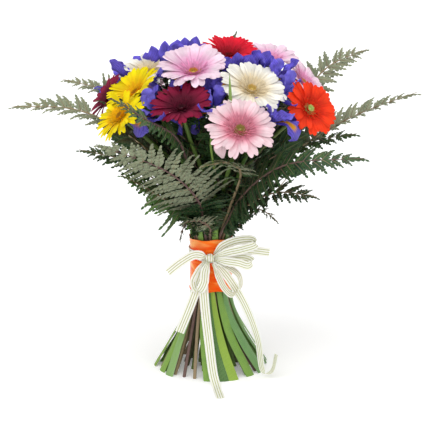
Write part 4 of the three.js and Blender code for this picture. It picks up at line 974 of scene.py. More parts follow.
def make_foot_leaves(leafy):
    """The iris leaves that end in the band: blades on the ring just outside the stalks, from the floor to the
    band's lower edge, evenly round but for the places of the long leaves. Their greens differ, as leaves of
    all ages do."""
    taken = np.array([stems[0][0]["azimuth"] for stems in leafy.values()])
    tries = np.arange(0, 360, 6.0)
    free = np.abs((tries[:, None] - taken + 180) % 360 - 180).min(axis=1)
    places = tries[free > FOOT_LEAF_ROOM]
    keep = np.concatenate([[True], np.diff(places) >= 11.9])
    materials, parts = [], []
    for number, (fresh, old) in enumerate(FOOT_LEAF_GREENS):
        for side, pale in (("face", 0.0), ("back", 0.3)):
            ends = [mixed_colour(linear(code), linear("C4D4A8"), pale) for code in (fresh, old)]
            name = f"foot_leaf_{side}_{number + 1}"
            materials.append(leaf_skin(name, *ends, linear("B5CC8A"), 0.45, veins=9))
    levels = np.array([0, 40, 84, BAND_TOP - BAND_HEIGHT + 5], float)
    t = np.linspace(0, 1, 22)
    for number, place_round in enumerate(places[keep]):
        azimuth = place_round + 3 * float(vary(number, 81))
        middle = smooth_path(ring_line(FOOT_LEAF_RING, azimuth, levels), t)
        half = np.interp(t, [0, 0.35, 0.75, 1], [8.6, 7.6, 4.6, 3.0]) * (1 + 0.16 * float(vary(number, 83)))
        slot = 2 * int(2 + 1.99 * float(vary(number, 89)))
        tone = 0.5 + 0.5 * float(vary(number, 97))
        parts.append(keeled_leaf(azimuth, middle, half, 0.5, tone, (slot, slot + 1)))
    make_piece("iris_foot_leaves", parts, materials, "iris_leaf")


# Gerberas


def gerbera_frame(flower):
    """at(r, angle, z): centre + x r cos + y r sin + facing z. bowl(r): how high the petals stand, tan(cup) r
    (1 - 0.42 r/R). round_about(angle): the way round the bloom."""
    x = unit(np.cross(UP, flower["facing"]))
    y = np.cross(flower["facing"], x)
    slope = math.tan(math.radians(flower["cup"]))

    def at(r, angle, z):
        r, angle, z = (np.asarray(v, float)[..., None] for v in (r, angle, z))
        return flower["middle"] + x * r * np.cos(angle) + y * r * np.sin(angle) + flower["facing"] * z

    def bowl(r):
        return slope * r * (1 - 0.42 * r / flower["radius"])

    def round_about(angle):
        angle = np.asarray(angle, float)[..., None]
        return x * np.sin(angle) - y * np.cos(angle)

    return at, bowl, round_about


def petal_facts(flower, at, bowl, corners):
    """Length and bend in radians of the solid's petals, from the option whose tip is a corner of it."""
    radius, index = flower["radius"], flower["index"]
    notch = NOTCH * radius
    lengths, bends = [], []
    options = np.array(PETAL_BENDS, float)
    for k in range(PETALS):
        upper = k % 2 == 1
        whole = radius * (0.9 if upper else 1) * (1 + 0.04 * vary(k, index))
        length = notch + (whole - notch) * options[:, 0]
        bend = np.radians(options[:, 1] + (7 if upper else -3) + 3 * vary(k, index + 50))
        out = length - notch
        angle = np.full(len(options), 2 * k * math.pi / PETALS)
        tips = at(notch + out * np.cos(bend), angle, bowl(length) + out * np.sin(bend))
        found = int(np.argmin(nearest(tips, corners)))
        lengths.append(length[found])
        bends.append(bend[found])
    return np.array(lengths), np.array(bends)


def ray_petals(flower, frame_of, corners, width):
    """Two narrow petals for each one of the solid, side by side, each on the solid's line: at the distance r
    its middle is n + (r - n) cos(bend) out and bowl(r) + (r - n) sin(bend) high, n being where the petals
    part. Its tip curls down by a cube of its share, and three ridges run along it."""
    at, bowl, round_about = frame_of
    radius, index = flower["radius"], flower["index"]
    lengths, bends = petal_facts(flower, at, bowl, corners)
    k = np.repeat(np.arange(PETALS), 2)
    which = np.tile([-1, 1], PETALS)
    order = np.arange(2 * PETALS)
    step = math.pi / PETALS
    s = np.array([0, 0.16, 0.34, 0.52, 0.68, 0.82, 0.92, 0.98, 1.0])
    length = lengths[k] * (1 + 0.035 * vary(order, index + 7))
    bend = bends[k] + np.radians(2.5) * vary(order, index + 11)
    angle = 2 * k * step + which * step * 0.5 + 0.18 * step * vary(order, index + 13)
    start = 0.24 * radius
    notch = NOTCH * radius
    r = start + (length[:, None] - start) * s
    out = np.maximum(0, r - notch)
    curl = (0.05 + 0.05 * vary(order, index + 17))[:, None] * (length[:, None] - notch) * s**3
    high = bowl(r) + out * np.sin(bend[:, None]) + 0.5 * which[:, None] * s - curl
    high = np.where(r < notch, high - 0.6, high)
    middle = at(r - out + out * np.cos(bend[:, None]), angle[:, None] + 0 * r, high)
    across, up = crosswise(middle, round_about(angle)[:, None])
    ahead = ways(middle)
    lean = np.broadcast_to((7 + 4 * vary(order, index + 19))[:, None], r.shape)
    outline = np.array([0.3, 0.5, 0.74, 0.92, 1.0, 0.93, 0.7, 0.4, 0.1])
    share = width * (1 + 0.1 * vary(order, index + 23))
    half = radius * share[:, None] * 0.5 * outline
    cup = half[..., None] * 0.16

    def rise(a):
        return cup * a**2 + 0.16 * np.cos(3 * np.pi * a) * np.minimum(1, half[..., None])

    tone = np.clip(0.5 + 0.3 * which * (k % 2 - 0.5) + 0.3 * vary(order, index + 29), 0, 1)
    across, up = turned(across, ahead, lean), turned(up, ahead, lean)
    return blades(middle, across, up, half, sizes().petal_thickness / MM / 2, rise, 7, tone)


def inner_florets(flower, frame_of):
    """Four rings of short, narrow florets that stand up round the disc: straight blades that lean out."""
    at, bowl, round_about = frame_of
    radius, index = flower["radius"], flower["index"]
    ring = np.repeat(np.arange(4), FLORETS)
    order = np.arange(len(ring))
    angle = 2 * np.pi * order / FLORETS + ring * 0.055 + 0.05 * vary(order, index + 31)
    root = radius * (0.11 + 0.04 * ring) * (1 + 0.05 * vary(order, index + 37))
    lean = np.radians(20 + 14 * ring + 10 * vary(order, index + 41))
    length = radius * (0.1 + 0.05 * ring) * (1 + 0.2 * vary(order, index + 43))
    s = np.array([0, 0.4, 0.8, 1.0])
    r = root[:, None] + (length * np.sin(lean))[:, None] * s
    high = bowl(root)[:, None] - 0.5 + (length * np.cos(lean))[:, None] * s
    middle = at(r, angle[:, None] + 0 * r, high)
    half = radius * 0.02 * np.array([0.6, 1.0, 0.9, 0.3]) * np.ones((len(order), 1))
    tone = np.clip(0.5 + 0.5 * vary(order, index + 47), 0, 1)
    return blades(middle, *crosswise(middle, round_about(angle)[:, None]), half, 0.25, None, 3, tone, (2, 2))


def disc_florets(flower, frame_of):
    """The disc's buds, each the n-th of a spiral: at the angle 137.5 n degrees and the distance sqrt(n)."""
    at, bowl, _ = frame_of
    radius = flower["radius"]
    n = np.arange(1, DISC_BUDS + 1)
    share = np.sqrt(n / len(n))
    r0 = 0.12 * radius * share
    angle = np.radians(GOLDEN_ANGLE) * n
    rise = DISC_RISE * radius
    ground = bowl(r0) - 0.1 * rise + 0.2 * rise * share**2
    tall = rise * (0.28 + 0.25 * share)
    s = np.array([0, 0.6, 1.0])
    middle = at(r0[:, None] * (1 + 0.06 * s), angle[:, None] + 0 * s, ground[:, None] + tall[:, None] * s)
    wide = 0.011 * radius * np.array([0.8, 1.15, 0.35]) * np.ones((len(n), 1))
    tone = np.clip(share + 0.2 * vary(n, 5), 0, 1)
    side = np.broadcast_to(unit(np.cross(flower["facing"], UP)), (len(n), 1, 3))
    return stalks(middle, side, wide, 5, tone, slot=3, end_slot=3)


def bloom_cup(flower, frame_of):
    """The green cup: rings round the bloom's axis from the stem to under the petals, and two rows of pointed
    bracts that lie on it."""
    at, bowl, round_about = frame_of
    radius = flower["radius"]
    profile = np.array([
        (CALYX_RADIUS * 0.95, -CALYX_DEPTH), (CALYX_RADIUS * 1.3, -CALYX_DEPTH * 0.8),
        (CALYX_RADIUS * 2.0, -CALYX_DEPTH * 0.45), (CALYX_RADIUS * CUP_SPREAD, -CUP_RIM_DEPTH),
        (0.3 * radius, bowl(0.3 * radius) - 1.6), (0.31 * radius, bowl(0.31 * radius) - 0.8),
        (0.22 * radius, bowl(0.22 * radius) - 0.2), (0.08 * radius, bowl(0.08 * radius) + 0.3),
    ])
    turn = 2 * np.pi * np.arange(20) / 20
    rings = at(profile[:, :1] + 0 * turn, turn + 0 * profile[:, :1], profile[:, 1:] + 0 * turn)[None]
    along = np.linspace(0, 1, len(profile))[:, None]
    grow = np.stack(np.broadcast_arrays(np.cos(turn), along, 0.5), axis=-1)[None]
    on_top = np.arange(len(profile) - 1)[:, None] > 4
    cup = skins(rings, grow, np.where(on_top, 3, 4) + 0 * turn.astype(int), 3)
    order = np.arange(BRACTS)
    row = order % 2
    angle = 2 * np.pi * order / BRACTS
    s = np.array([0, 0.35, 0.7, 1.0])
    r = CALYX_RADIUS * (1.5 + 0.5 * row[:, None]) + (0.17 * radius + 1.5 * row[:, None]) * s
    z = -CALYX_DEPTH * (0.8 - 0.25 * row[:, None]) + (CALYX_DEPTH * 0.75) * s + 2.2 * s**2
    middle = at(r, angle[:, None] + 0 * s, z)
    half = 1.5 * np.array([0.8, 1.0, 0.7, 0.1]) * np.ones((BRACTS, 1))
    tone = np.full(BRACTS, 0.6)
    bracts = blades(middle, *crosswise(middle, round_about(angle)[:, None]), half, 0.3, None, 3, tone, (4, 4))
    return [cup, bracts]


def make_bud(materials):
    """The closed bud that hangs under the front bloom: 9 petals round its axis, the radius at the share s of
    which is 8 sin(pi (0.14 + 0.8 s)) mm, a tenth less for every other one, and a thin stalk to the bundle,
    which swells into the cup at its base."""
    base, tip = np.array(BUD_BASE), np.array(BUD_TIP)
    axis = unit(tip - base)
    side = unit(np.cross(axis, UP))
    order = np.arange(9)
    angle = 2 * np.pi * order / 9
    out = (side * np.cos(angle)[:, None] + np.cross(axis, side) * np.sin(angle)[:, None])[:, None]
    s = np.linspace(0, 1, 9)
    radius = (8 - 0.9 * (order % 2))[:, None] * np.sin(np.pi * (0.14 + 0.8 * s))
    middle = base + axis * (np.linalg.norm(tip - base) * s[:, None]) + out * radius[..., None]
    half = 4.6 * np.array([0.4, 0.7, 0.9, 1, 1, 0.95, 0.8, 0.5, 0.1]) * np.ones((9, 1))
    tone = 0.6 + 0.3 * vary(order, 91)

    def rise(a):
        return -1.4 * a**2 + 0 * half[..., None]

    petals = blades(middle, *crosswise(middle, np.cross(axis, out)), half, 0.3, rise, 5, tone)
    t = np.linspace(0, 1, 16)
    line = smooth_path([[4, -70, 300], [0, -104, 344], [4, -120, 356], base + axis * 3], t)
    thick = np.interp(t, [0, 0.8, 1], [1.5, 1.4, 4.4])
    stalk = stalks(line[None], side, thick[None], 8, [0.6], slot=4, end_slot=4)
    make_piece("gerbera_bud", [petals, stalk], materials, "pale_rose_petal")


def make_gerberas():
    """The gerbera blooms and the bud."""
    colour = colours()
    green = stalk_skin("gerbera_cup_skin", linear("8AA84A"), linear("5E7F35"), 0.55)
    skins_of = {}
    for kind, (rim, heart, floret) in CENTRES.items():
        face, root = getattr(colour, kind), getattr(colour, f"{kind}_root")
        skins_of[kind] = [
            petal_skin(f"{kind}_petal_face", face, root, mixed_colour(face, root, 0.45), 0.55),
            petal_skin(f"{kind}_petal_back", mixed_colour(face, linear("F4EEDC"), 0.12), face, face),
            petal_skin(
                f"{kind}_inner_floret", mixed_colour(face, linear(floret), 0.75), root, root, ridges=1.0
            ),
            stalk_skin(f"{kind}_disc_buds", linear(rim), linear(heart), 0.6),
            green,
        ]
    flowers, _, _ = plan_flowers()
    for flower in flowers[: len(GERBERAS)]:
        kind = flower["colour"]
        frame_of = gerbera_frame(flower)
        width = sizes().petal_width * PETAL_WIDTHS.get(kind, 1.0)
        parts = [
            ray_petals(flower, frame_of, corners_of(flower["name"]), width),
            inner_florets(flower, frame_of),
            disc_florets(flower, frame_of),
            *bloom_cup(flower, frame_of),
        ]
        make_piece(f"{flower['name']}_bloom", parts, skins_of[kind], f"{kind}_petal", flower["name"])
    make_bud(skins_of["pale_rose"])


# Irises


def iris_outline(kind, t):
    """Half width along a blade as a share of its greatest, from its root to its rounded tip."""
    stations = {
        "style": ([0, 0.3, 0.6, 0.8, 0.93, 1], [0.3, 0.7, 1.0, 0.95, 0.7, 0.1]),
        "standard": ([0, 0.25, 0.5, 0.75, 0.92, 1], [0.16, 0.5, 0.95, 1.0, 0.66, 0.1]),
        "fall": ([0, 0.2, 0.42, 0.55, 0.75, 0.92, 1], [0.12, 0.3, 0.42, 0.66, 1.0, 0.72, 0.1]),
    }
    return np.interp(t, *stations[kind])


def iris_blade(flower, corners, kind, turn, stations, step):
    """One blade of an iris: its middle is the smooth path through the solid's stations, and its edges are
    ruffled by a sine. The falls arch, the standards are cupped, and the style arms are keeled."""
    facing = flower["facing"]
    x = turned(unit(np.cross(UP, facing)), facing, flower["turn"] + turn + step)
    across = np.cross(facing, x)
    (out0, height0, _), stations = stations[0], np.array(stations, float)
    root = flower["base"] + x * out0 + facing * height0
    grown = stations[:, :2] - [out0, height0]
    bends = np.array(BLADE_BENDS, float)
    ways_out = turned(np.broadcast_to(x, (len(bends), 3)), across, bends[:, 1])
    ways_up = turned(np.broadcast_to(facing, (len(bends), 3)), across, bends[:, 1])
    tips = root + (ways_out * grown[-1, 0] + ways_up * grown[-1, 1]) * bends[:, :1]
    b = int(np.argmin(nearest(tips, corners)))
    scale = max(bends[b, 0], 0 if kind == "fall" else LEAST_BLADE)
    t = np.linspace(0, 1, 18)
    line = smooth_path(np.column_stack([grown, np.zeros(len(grown))]) * scale, t)
    middle = root + ways_out[b] * line[:, :1] + ways_up[b] * line[:, 1:2]
    across = -np.cross(ways_up[b], ways_out[b])[None] + 0 * middle
    up = np.cross(across, ways(middle))
    half = stations[:, 2].max() * scale * 1.3 * iris_outline(kind, t)
    seed = step + flower["index"] * 7 + turn
    cup = {"style": -0.35, "standard": 0.42, "fall": -0.16}[kind]

    def rise(a):
        ruffle = np.sin(t[:, None] * 19 + seed) * np.abs(a) ** 2.5 * np.sign(a + 0.3)
        crease = np.sin(t[:, None] * 9 + seed * 2 + 2.5 * a)
        waves = (0.24 * ruffle + 0.08 * crease) * np.minimum(1, 2 * t[:, None])
        return (half[:, None] * (cup * a**2 + waves))[None]

    slot = {"style": 1, "standard": 0, "fall": 2}[kind]
    tone = [0.5 + 0.5 * float(vary(seed, 3))]
    return blades(middle[None], across[None], up[None], half[None], 0.35, rise, 9, tone, (slot, min(slot, 1)))


def tucked_petals():
    """Upright iris petals that are closed behind other blooms: each runs straight from its root to its tip,
    swells outward by 3 sin(pi t) mm, narrows to a point, and has the standards' cup and ruffled edges."""
    root, tip, wide = (np.array(column, float) for column in zip(*TUCKED_PETALS))
    order = np.arange(len(root))
    tip = tip + np.stack([5 * vary(order, 101), 0 * order, 4 * vary(order, 103)], axis=-1)
    t = np.linspace(0, 1, 14)
    face = unit((root + tip) / 2 * [0.3, 1, 1] - np.array([0, 160, 350]))[:, None]
    middle = root[:, None] + (tip - root)[:, None] * t[:, None] + face * (3 * np.sin(np.pi * t))[:, None]
    ahead = ways(middle)
    across = unit(np.cross(ahead, face + 0 * ahead))
    half = wide[:, None] * np.interp(t, [0, 0.3, 0.6, 0.8, 0.93, 1], [0.4, 0.86, 1, 0.74, 0.34, 0.04])
    seed = order[:, None, None] * 1.7

    def rise(a):
        ruffle = np.sin(t[:, None] * 13 + seed) * np.abs(a) ** 2 * np.sign(a + 0.3)
        crease = np.sin(t[:, None] * 7 + seed * 2 + 3 * a)
        waves = (0.22 * ruffle + 0.1 * crease) * np.minimum(1, 2 * t[:, None])
        return half[..., None] * (-0.45 * a**2 + waves)

    tone = 0.6 + 0.4 * vary(order, 83)
    return blades(middle, across, np.cross(across, ahead), half, 0.35, rise, 9, tone, (0, 0))


def iris_tube(flower):
    """The green tube under an iris, which swells where the seeds lie."""
    heights, radii = np.array(IRIS_TUBE, float).T
    z = np.linspace(heights[0], heights[-1], 9)
    middle = flower["base"] + flower["facing"] * z[:, None]
    side = unit(np.cross(UP, flower["facing"]))
    return stalks(middle[None], side, np.interp(z, heights, radii), 12, [0.6], slot=3, end_slot=3)


def young_leaf():
    """The narrow green leaf that stands up between two blooms: straight, and pointed at its tip."""
    t = np.linspace(0, 1, 9)[:, None]
    middle = np.array(YOUNG_LEAF_ROOT) * (1 - t) + np.array(YOUNG_LEAF_TIP) * t
    across = np.array([[[0.9, -0.4, 0]]]) + 0 * middle
    half = 2.3 * np.array([[0.7, 0.9, 1, 1, 0.9, 0.75, 0.55, 0.3, 0.03]])
    return blades(middle[None], across, np.cross(across, ways(middle)), half, 0.3, None, 5, [0.95], (3, 3))


def make_irises():
    """The iris blooms, and the petals and the leaf that are tucked in between the blooms."""
    colour = colours()
    pale = mixed_colour(colour.iris, linear("8E86E0"), 0.45)
    materials = [
        petal_skin("iris_standard_skin", colour.iris, colour.iris_vein, colour.iris_vein, 0.5, 4.0, 0.2, 0.3),
        petal_skin("iris_style_skin", pale, colour.iris, colour.iris, 0.6, 3.0, 0.2, 0.2),
        fall_skin("iris_fall_skin", colour.iris, colour.iris_blotch, colour.iris_vein),
        stalk_skin("iris_tube_skin", linear("7E9B46"), linear("55407E"), 0.5),
    ]
    flowers, _, _ = plan_flowers()
    for flower in flowers[len(GERBERAS) :]:
        corners = corners_of(flower["name"])
        parts = [
            iris_blade(flower, corners, kind, turn, stations, step)
            for kind, turn, stations in IRIS_WHORLS
            for step in (0, 120, 240)
        ]
        name = flower["name"]
        make_piece(f"{name}_bloom", [*parts, iris_tube(flower)], materials, "iris_petal", name)
    make_piece("iris_tucked_petals", [tucked_petals(), young_leaf()], materials, "iris_petal")


# Ferns


def parted(pinnae, seed):
    """Two pinnae in the place of each one of the solid's, a quarter of their spacing before and behind it
    along the rachis, where that leaves them at least 5 mm apart. The one behind is a little longer and lies
    lower."""
    rows = []
    for number, (root, way, ahead, up, length, spacing) in enumerate(pinnae):
        if spacing < 10:
            rows.append((root, way, up, length, spacing))
            continue
        for part, (shift, grown, lower) in enumerate(((-0.26, 1.04, -0.7), (0.24, 0.94, 0.5))):
            turn = 4 * float(vary(number * 2 + part, seed))
            rows.append((
                root + ahead * shift * spacing + up * lower, turned(way, up, turn), up,
                length * grown * (1 + 0.05 * float(vary(number * 2 + part, seed + 1))), spacing * 0.5,
            ))
    return rows


def low_pinnae(leaf, found, seed):
    """Pinnae on the part of the frond's line that is bare in the solid, from just above the band. They fill
    the heart of the bouquet and are drawn darkest, as painted shade under the blooms. They leave the line by
    pairs, one to each side, each turned about the line by up to 32 degrees."""
    reach = leaf["half_width"]
    start = 0.3 if leaf["in_collar"] else 0.34
    count = int(np.clip(reach / 3, 6, 15))
    u = start + (LEAF_START - start) * (np.arange(count) + 0.5) / count
    line = found["line"](u)
    ahead = unit(found["line"](u + 0.01) - found["line"](u - 0.01))
    side, up = found["side"][0], found["up"][0]
    rows = []
    for k, s in itertools.product(range(count), (1, -1)):
        flat = squared_off(side * s, ahead[k])
        flat = turned(flat, ahead[k], 32 * float(vary(k * 2 + s, seed)))
        slant = math.radians(24 + 10 * float(vary(k, seed + 2)))
        way = flat * math.cos(slant) + ahead[k] * math.sin(slant)
        length = reach * (0.28 + 0.5 * k / count) * (1 + 0.2 * float(vary(k * 2 + s, seed + 3)))
        rows.append((line[k], way, squared_off(up, way), length, 11.0 + reach / 20))
    return rows


def leaflets(pinnae, seed, pitch, dark, slots=(0, 1), hidden=False):
    """The leaflets of all the pinnae, in sets with the same number of rows. Hidden ones get fewer faces."""
    rows = [int(np.clip(round(length / pitch), 3, 9)) for _, _, _, length, _ in pinnae]
    sets = []
    for same in sorted(set(rows)):
        alike = [pinna for pinna, count in zip(pinnae, rows) if count == same]
        sets.append(pinnules(alike, seed + same, same, dark, slots, hidden))
    return [*sets, laminae(pinnae, seed, dark, slots)]


def in_shade(root, way, dark):
    """How dark each pinna looks: those that hang down or start low lie in the shade of the rest."""
    low = np.maximum(0, SHADE_BELOW - root[:, 2])
    return np.clip(dark + 0.85 * np.maximum(0, -way[:, 2]) + 0.011 * low, -1, 0.95)


def pinna_line(root, way, up, length, u):
    """The points root + way l u - up l droop u^2 of each pinna at the shares u."""
    along = length[:, None]
    rib = root[:, None] + way[:, None] * (along * u)[..., None]
    return rib - up[:, None] * (along * PINNA_DROOP * u**2)[..., None]


def laminae(pinnae, seed, dark, slots):
    """The green blade along the rib of each pinna, from which its leaflets part: its half width is a third of
    their reach, and it narrows to the tip."""
    root, way, up, length, spacing = (np.array(column) for column in zip(*pinnae))
    middle = pinna_line(root, way, up, length, np.array([0, 0.14, 0.3, 0.46, 0.62, 0.78, 0.92, 1.04]))
    ahead = ways(middle)
    across = np.cross(ahead, squared_off(up[:, None] + 0 * ahead, ahead))
    longest = np.minimum(0.8 * spacing, 0.42 * length)[:, None]
    outline = np.array([0.3, 0.42, 0.44, 0.4, 0.34, 0.27, 0.16, 0.02])
    tone = np.clip((0.4 + 0.3 * vary(np.arange(len(root)), seed + 3)) * (1 - in_shade(root, way, dark)), 0, 1)
    return blades(middle, across, np.cross(across, ahead), longest * outline, 0.2, None, 3, tone, slots)


def pinnules(pinnae, seed, rows, dark, slots, hidden):
    """Every leaflet of some pinnae. At the shares u of a pinna's rib a leaflet leaves it on each side,
    leaning forward, 0.9 of the pinnae's spacing long at its longest. It is folded along its middle, narrows
    to its tip, and hangs down by 0.14 v^2 of its length at the share v of it."""
    root, way, up, length, spacing = (np.array(column) for column in zip(*pinnae))
    u = (np.arange(rows) + 0.6) / (rows + 0.4)
    u = np.concatenate([np.repeat(u, 2), [0.96]])
    q = np.concatenate([np.tile([1.0, -1.0], rows), [0.0]])
    count = len(root)
    long = length[:, None]
    base = pinna_line(root, way, up, length, u)
    rib = unit(way[:, None] - up[:, None] * (2 * PINNA_DROOP * u)[:, None])
    top = squared_off(up[:, None] + 0 * rib, rib)
    aside = np.cross(rib, top)
    order = np.arange(count * len(u)).reshape(count, len(u))
    lean = np.radians(np.where(q == 0, 90, 34 + 20 * u + 6 * vary(order, seed)))
    ahead = aside * (q * np.cos(lean))[..., None] + rib * np.sin(lean)[..., None]
    tilt = np.radians(12) * vary(order, seed + 1)
    ahead = unit(ahead + top * tilt[..., None])
    outline = (1 - u) ** 0.6 * np.minimum(1, 0.62 + 1.6 * u)
    longest = np.minimum(0.9 * spacing, 0.5 * length)[:, None]
    reach = np.where(q == 0, 0.14 * long + 2, longest * outline * (1 + 0.1 * vary(order, seed + 2)))
    gap = long / (rows + 0.4)
    wide = np.where(q == 0, 0.2 * gap + 0.5, np.minimum(0.56 * gap, 0.4 * reach))
    stations = [0, 0.22, 0.46, 0.68, 0.86, 1.0]
    v = np.array([0, 0.36, 0.74, 1.0] if hidden else stations)
    narrowing = np.interp(v, stations, [0.8, 1.0, 0.96, 0.76, 0.5, 0.04])
    square = squared_off(top, ahead)
    middle = base[:, :, None] + ahead[:, :, None] * (reach[..., None] * v)[..., None]
    middle = middle - square[:, :, None] * (reach[..., None] * 0.14 * v**2)[..., None]
    middle = middle.reshape(-1, len(v), 3)
    across = np.cross(ahead, square).reshape(-1, 1, 3) + 0 * middle
    half = (wide[..., None] * narrowing).reshape(-1, len(v))
    tone = 0.45 + 0.3 * vary(np.arange(count), seed + 3)[:, None] + 0.25 * vary(order, seed + 4)
    tone = np.clip(tone * (1 - in_shade(root, way, dark)[:, None]), 0, 1)

    def rise(a):
        return -0.28 * half[..., None] * np.abs(a)

    return blades(middle, across, np.cross(across, ways(middle)), half, 0.2, rise, 3, tone.reshape(-1), slots)


def pinna_ribs(pinnae, seed, start=-0.04):
    """The rib of each pinna, a thin stalk from the rachis to its tip. It starts at a share of its length."""
    root, way, up, length, _ = (np.array(column) for column in zip(*pinnae))
    u = np.linspace(start, 0.95, 7)
    middle = pinna_line(root, way, up, length, u)
    radius = 0.62 * (1 - 0.6 * np.clip(u, 0, 1)) * np.ones((len(root), 1))
    tone = 0.5 + 0.3 * vary(np.arange(len(root)), seed + 5)
    return stalks(middle, up[:, None] + 0 * middle, radius, 5, tone, slot=2, end_slot=2)


def frond_stalk(found, seed):
    """Stipe and rachis as one tapering stalk, from the cut foot through the binding to the frond's tip."""
    foot = found["foot"]
    share = np.linspace(0.03, 1, 40)
    free = found["line"](share)
    low = smooth_path(np.vstack([foot[:3], free[0]]), np.linspace(0, 1, 12))[:-1]
    radius = np.interp(share, [0, 0.6, 0.8, 1], [2.3, 1.6, 1.1, 0.35])
    radius = np.concatenate([np.full(len(low), STIPE_RADIUS), radius])
    middle = np.vstack([low, free])[None]
    side = direction(np.degrees(np.arctan2(foot[-1, 0], -foot[-1, 1])) + 90)
    tone = [0.5 + 0.4 * float(vary(seed, 6))]
    return stalks(middle, side + 0 * middle, radius[None], 8, tone, slot=2, end_slot=2, ridge=0.08)


def heart_pinnae():
    """Pinnae among the stems, drawn dark as painted shade, so that the heart of the bouquet is closed: the
    n-th leaves the bundle at the azimuth 137.5 n degrees, and they rise from 37 mm above the band to just
    under the blooms. The first 210 stand on the outside of the bundle, further out at its two sides, and the
    next 60 fill its inside under the blooms. The last 36 stand side by side behind the front blooms, from the
    left to the right."""
    outer, inner, wall = HEART_PINNAE
    n = np.arange(outer + inner)
    inside = n >= outer
    share = np.where(inside, (n - outer + 0.5) / inner, (n + 0.5) / outer)
    z = np.where(inside, 352 + 50 * (1 - share), 226 + 150 * share)
    out = direction(GOLDEN_ANGLE * n)
    aside = np.where(inside, 0, share * np.abs(out[:, 0]))
    lean = np.radians(np.where(inside, 55, 36) + 20 * aside + 16 * vary(n, 61))
    far = np.where(inside, 84 * np.sqrt(share), (0.36 * (z - BAND_TOP) + 8) * (1 + 0.7 * aside * (n % 2)))
    root = out * (far + 8 * vary(n, 73))[:, None] + UP * z[:, None]
    way = out * np.sin(lean)[:, None] + UP * np.cos(lean)[:, None]
    way = unit(way + np.cross(UP, out) * (0.5 * vary(n, 67))[:, None])
    grown = np.where(inside, 1, share)
    length = 29 + 10 * grown + 9 * vary(n, 71)
    rows = list(zip(root, way, squared_off(UP - out * 0.3, way), length, 15 + 7 * grown))
    n = np.arange(wall)
    q = 2 * (n + 0.5) / wall - 1
    height = 318 + 26 * vary(n, 83) - 26 * np.maximum(0, q) ** 2
    root = np.stack([112 * q, 8 + 16 * vary(n, 79), height], axis=-1)
    way = unit(np.stack([0.9 * q + 0.5 * vary(n, 89), 0.1 + 0 * q, 0.9 - 0.3 * np.abs(q)], axis=-1))
    return rows + list(zip(root, way, squared_off(np.array([0.0, -1.0, 0.4]), way), 38 + 0 * q, 24 + 0 * q))


def make_ferns():
    """The fronds, each with its stipe, and the pinnae that close the bouquet's heart, drawn dark as painted
    shade.
    """
    colour = colours()
    # the underside's dark end is old fern, and so painted shade as well
    old_and_shaded_under = mixed_colour(colour.fern_under, colour.fern_old_and_shaded, 0.62)
    materials = [
        leaf_skin("fern_leaf_face", colour.fern_fresh, colour.fern_old_and_shaded, linear("6F8F4E"), 0.36, veins=2.0),
        leaf_skin("fern_leaf_underside", colour.fern_under, old_and_shaded_under, linear("C2C8AE"), 0.6, veins=2.0),
        stalk_skin("fern_stipe_skin", colour.stipe, linear("573A40"), 0.6),
    ]
    pitch = sizes().leaflet_spacing / MM
    _, fronds, _ = plan_flowers()
    for seed, leaf in enumerate(fronds):
        name = leaf["name"]
        found = find_frond(leaf)
        pinnae = parted(found["pinnae"], seed * 11)
        rachis, k = found["rachis"], leaf["pairs"]
        tip = rachis[k + 1] - rachis[k]
        pinnae.append((rachis[k], unit(tip), found["up"][k], np.linalg.norm(tip), pinnae[-1][4] * 0.8))
        low = low_pinnae(leaf, found, seed * 11 + 5)
        finer = min(pitch, leaf["half_width"] / 4)
        slots = (1, 0) if name in TURNED_OVER else (0, 1)
        parts = [
            *leaflets(pinnae, seed * 11, finer, FROND_AGES.get(name, 0.35), slots, name.startswith("back")),
            # the low pinnae get the dark value 0.6: painted shade under the blooms
            *leaflets(low, seed * 11 + 6, pitch, 0.6, (0, 0), True),
            pinna_ribs(pinnae + low, seed * 11),
            frond_stalk(found, seed),
        ]
        make_piece(f"fern_frond_{name}_leaf", parts, materials, "fern_leaf", f"fern_frond_{name}")
    heart = heart_pinnae()
    # the heart pinnae get the dark value 0.75: painted shade in the heart of the bouquet
    parts = [*leaflets(heart, 401, pitch, 0.75, (0, 0), True), pinna_ribs(heart, 401, -0.8)]
    make_piece("fern_heart_leaf", parts, materials, "fern_leaf")


# Band and bow


def make_band():
    """The satin band: a closed shell round the bundle. Its outer face stands at the band's radius plus soft
    gathers, and its top and bottom edges are turned over."""
    colour = colours()
    w, h = np.meshgrid(np.linspace(0, 2 * np.pi, 145)[:-1], np.linspace(-1, 1, 31))
    aside = np.abs(h)
    fold = 0.55 * np.sin(5 * w + 3.1 * h + 1.2 * np.sin(2 * w)) + 0.3 * np.sin(11 * w - 4.7 * h)
    crease = 0.45 * np.cos(9 * h + 1.6 * np.sin(3 * w)) * np.cos(2 * w + 0.7)
    edge = 1.1 * np.exp(-((1 - aside) / 0.05) ** 2) + 0.5 * np.exp(-(((1 - aside) - 0.19) / 0.05) ** 2)
    outer = BAND_OUTER_RADIUS + 0.35 + 0.45 * (fold + crease) * (1 - 0.5 * aside) + edge
    z = TIE_Z + h * BAND_HEIGHT / 2 + (0.9 * np.sin(3 * w + 0.8) * aside + 0.5 * np.sin(7 * w) * aside)
    radius = np.concatenate([outer, (outer - 0.6)[::-1]])
    level = np.concatenate([z, z[::-1]])
    turn = np.concatenate([w, w])
    rings = np.swapaxes(np.stack([radius * np.sin(turn), -radius * np.cos(turn), level], axis=-1), 0, 1)
    index = np.arange(rings.shape[0] * rings.shape[1]).reshape(rings.shape[:2])
    beside = np.roll(index, -1, axis=1)
    quads = np.stack([index, np.roll(index, -1, axis=0), np.roll(beside, -1, axis=0), beside], axis=-1)
    grow = np.stack([np.concatenate([h, h[::-1]]), turn / (2 * np.pi), 0 * level], axis=-1)
    part = {
        "points": rings.reshape(-1, 3), "grow": np.swapaxes(grow, 0, 1).reshape(-1, 3),
        "faces": [(quads.reshape(-1, 4), 0)],
    }
    satin = satin_cloth("orange_satin_cloth", colour.satin, colour.satin_fold_shade)
    band = make_piece("satin_band_cloth", [part], [satin], "orange_satin", "satin_band", sharp=80)


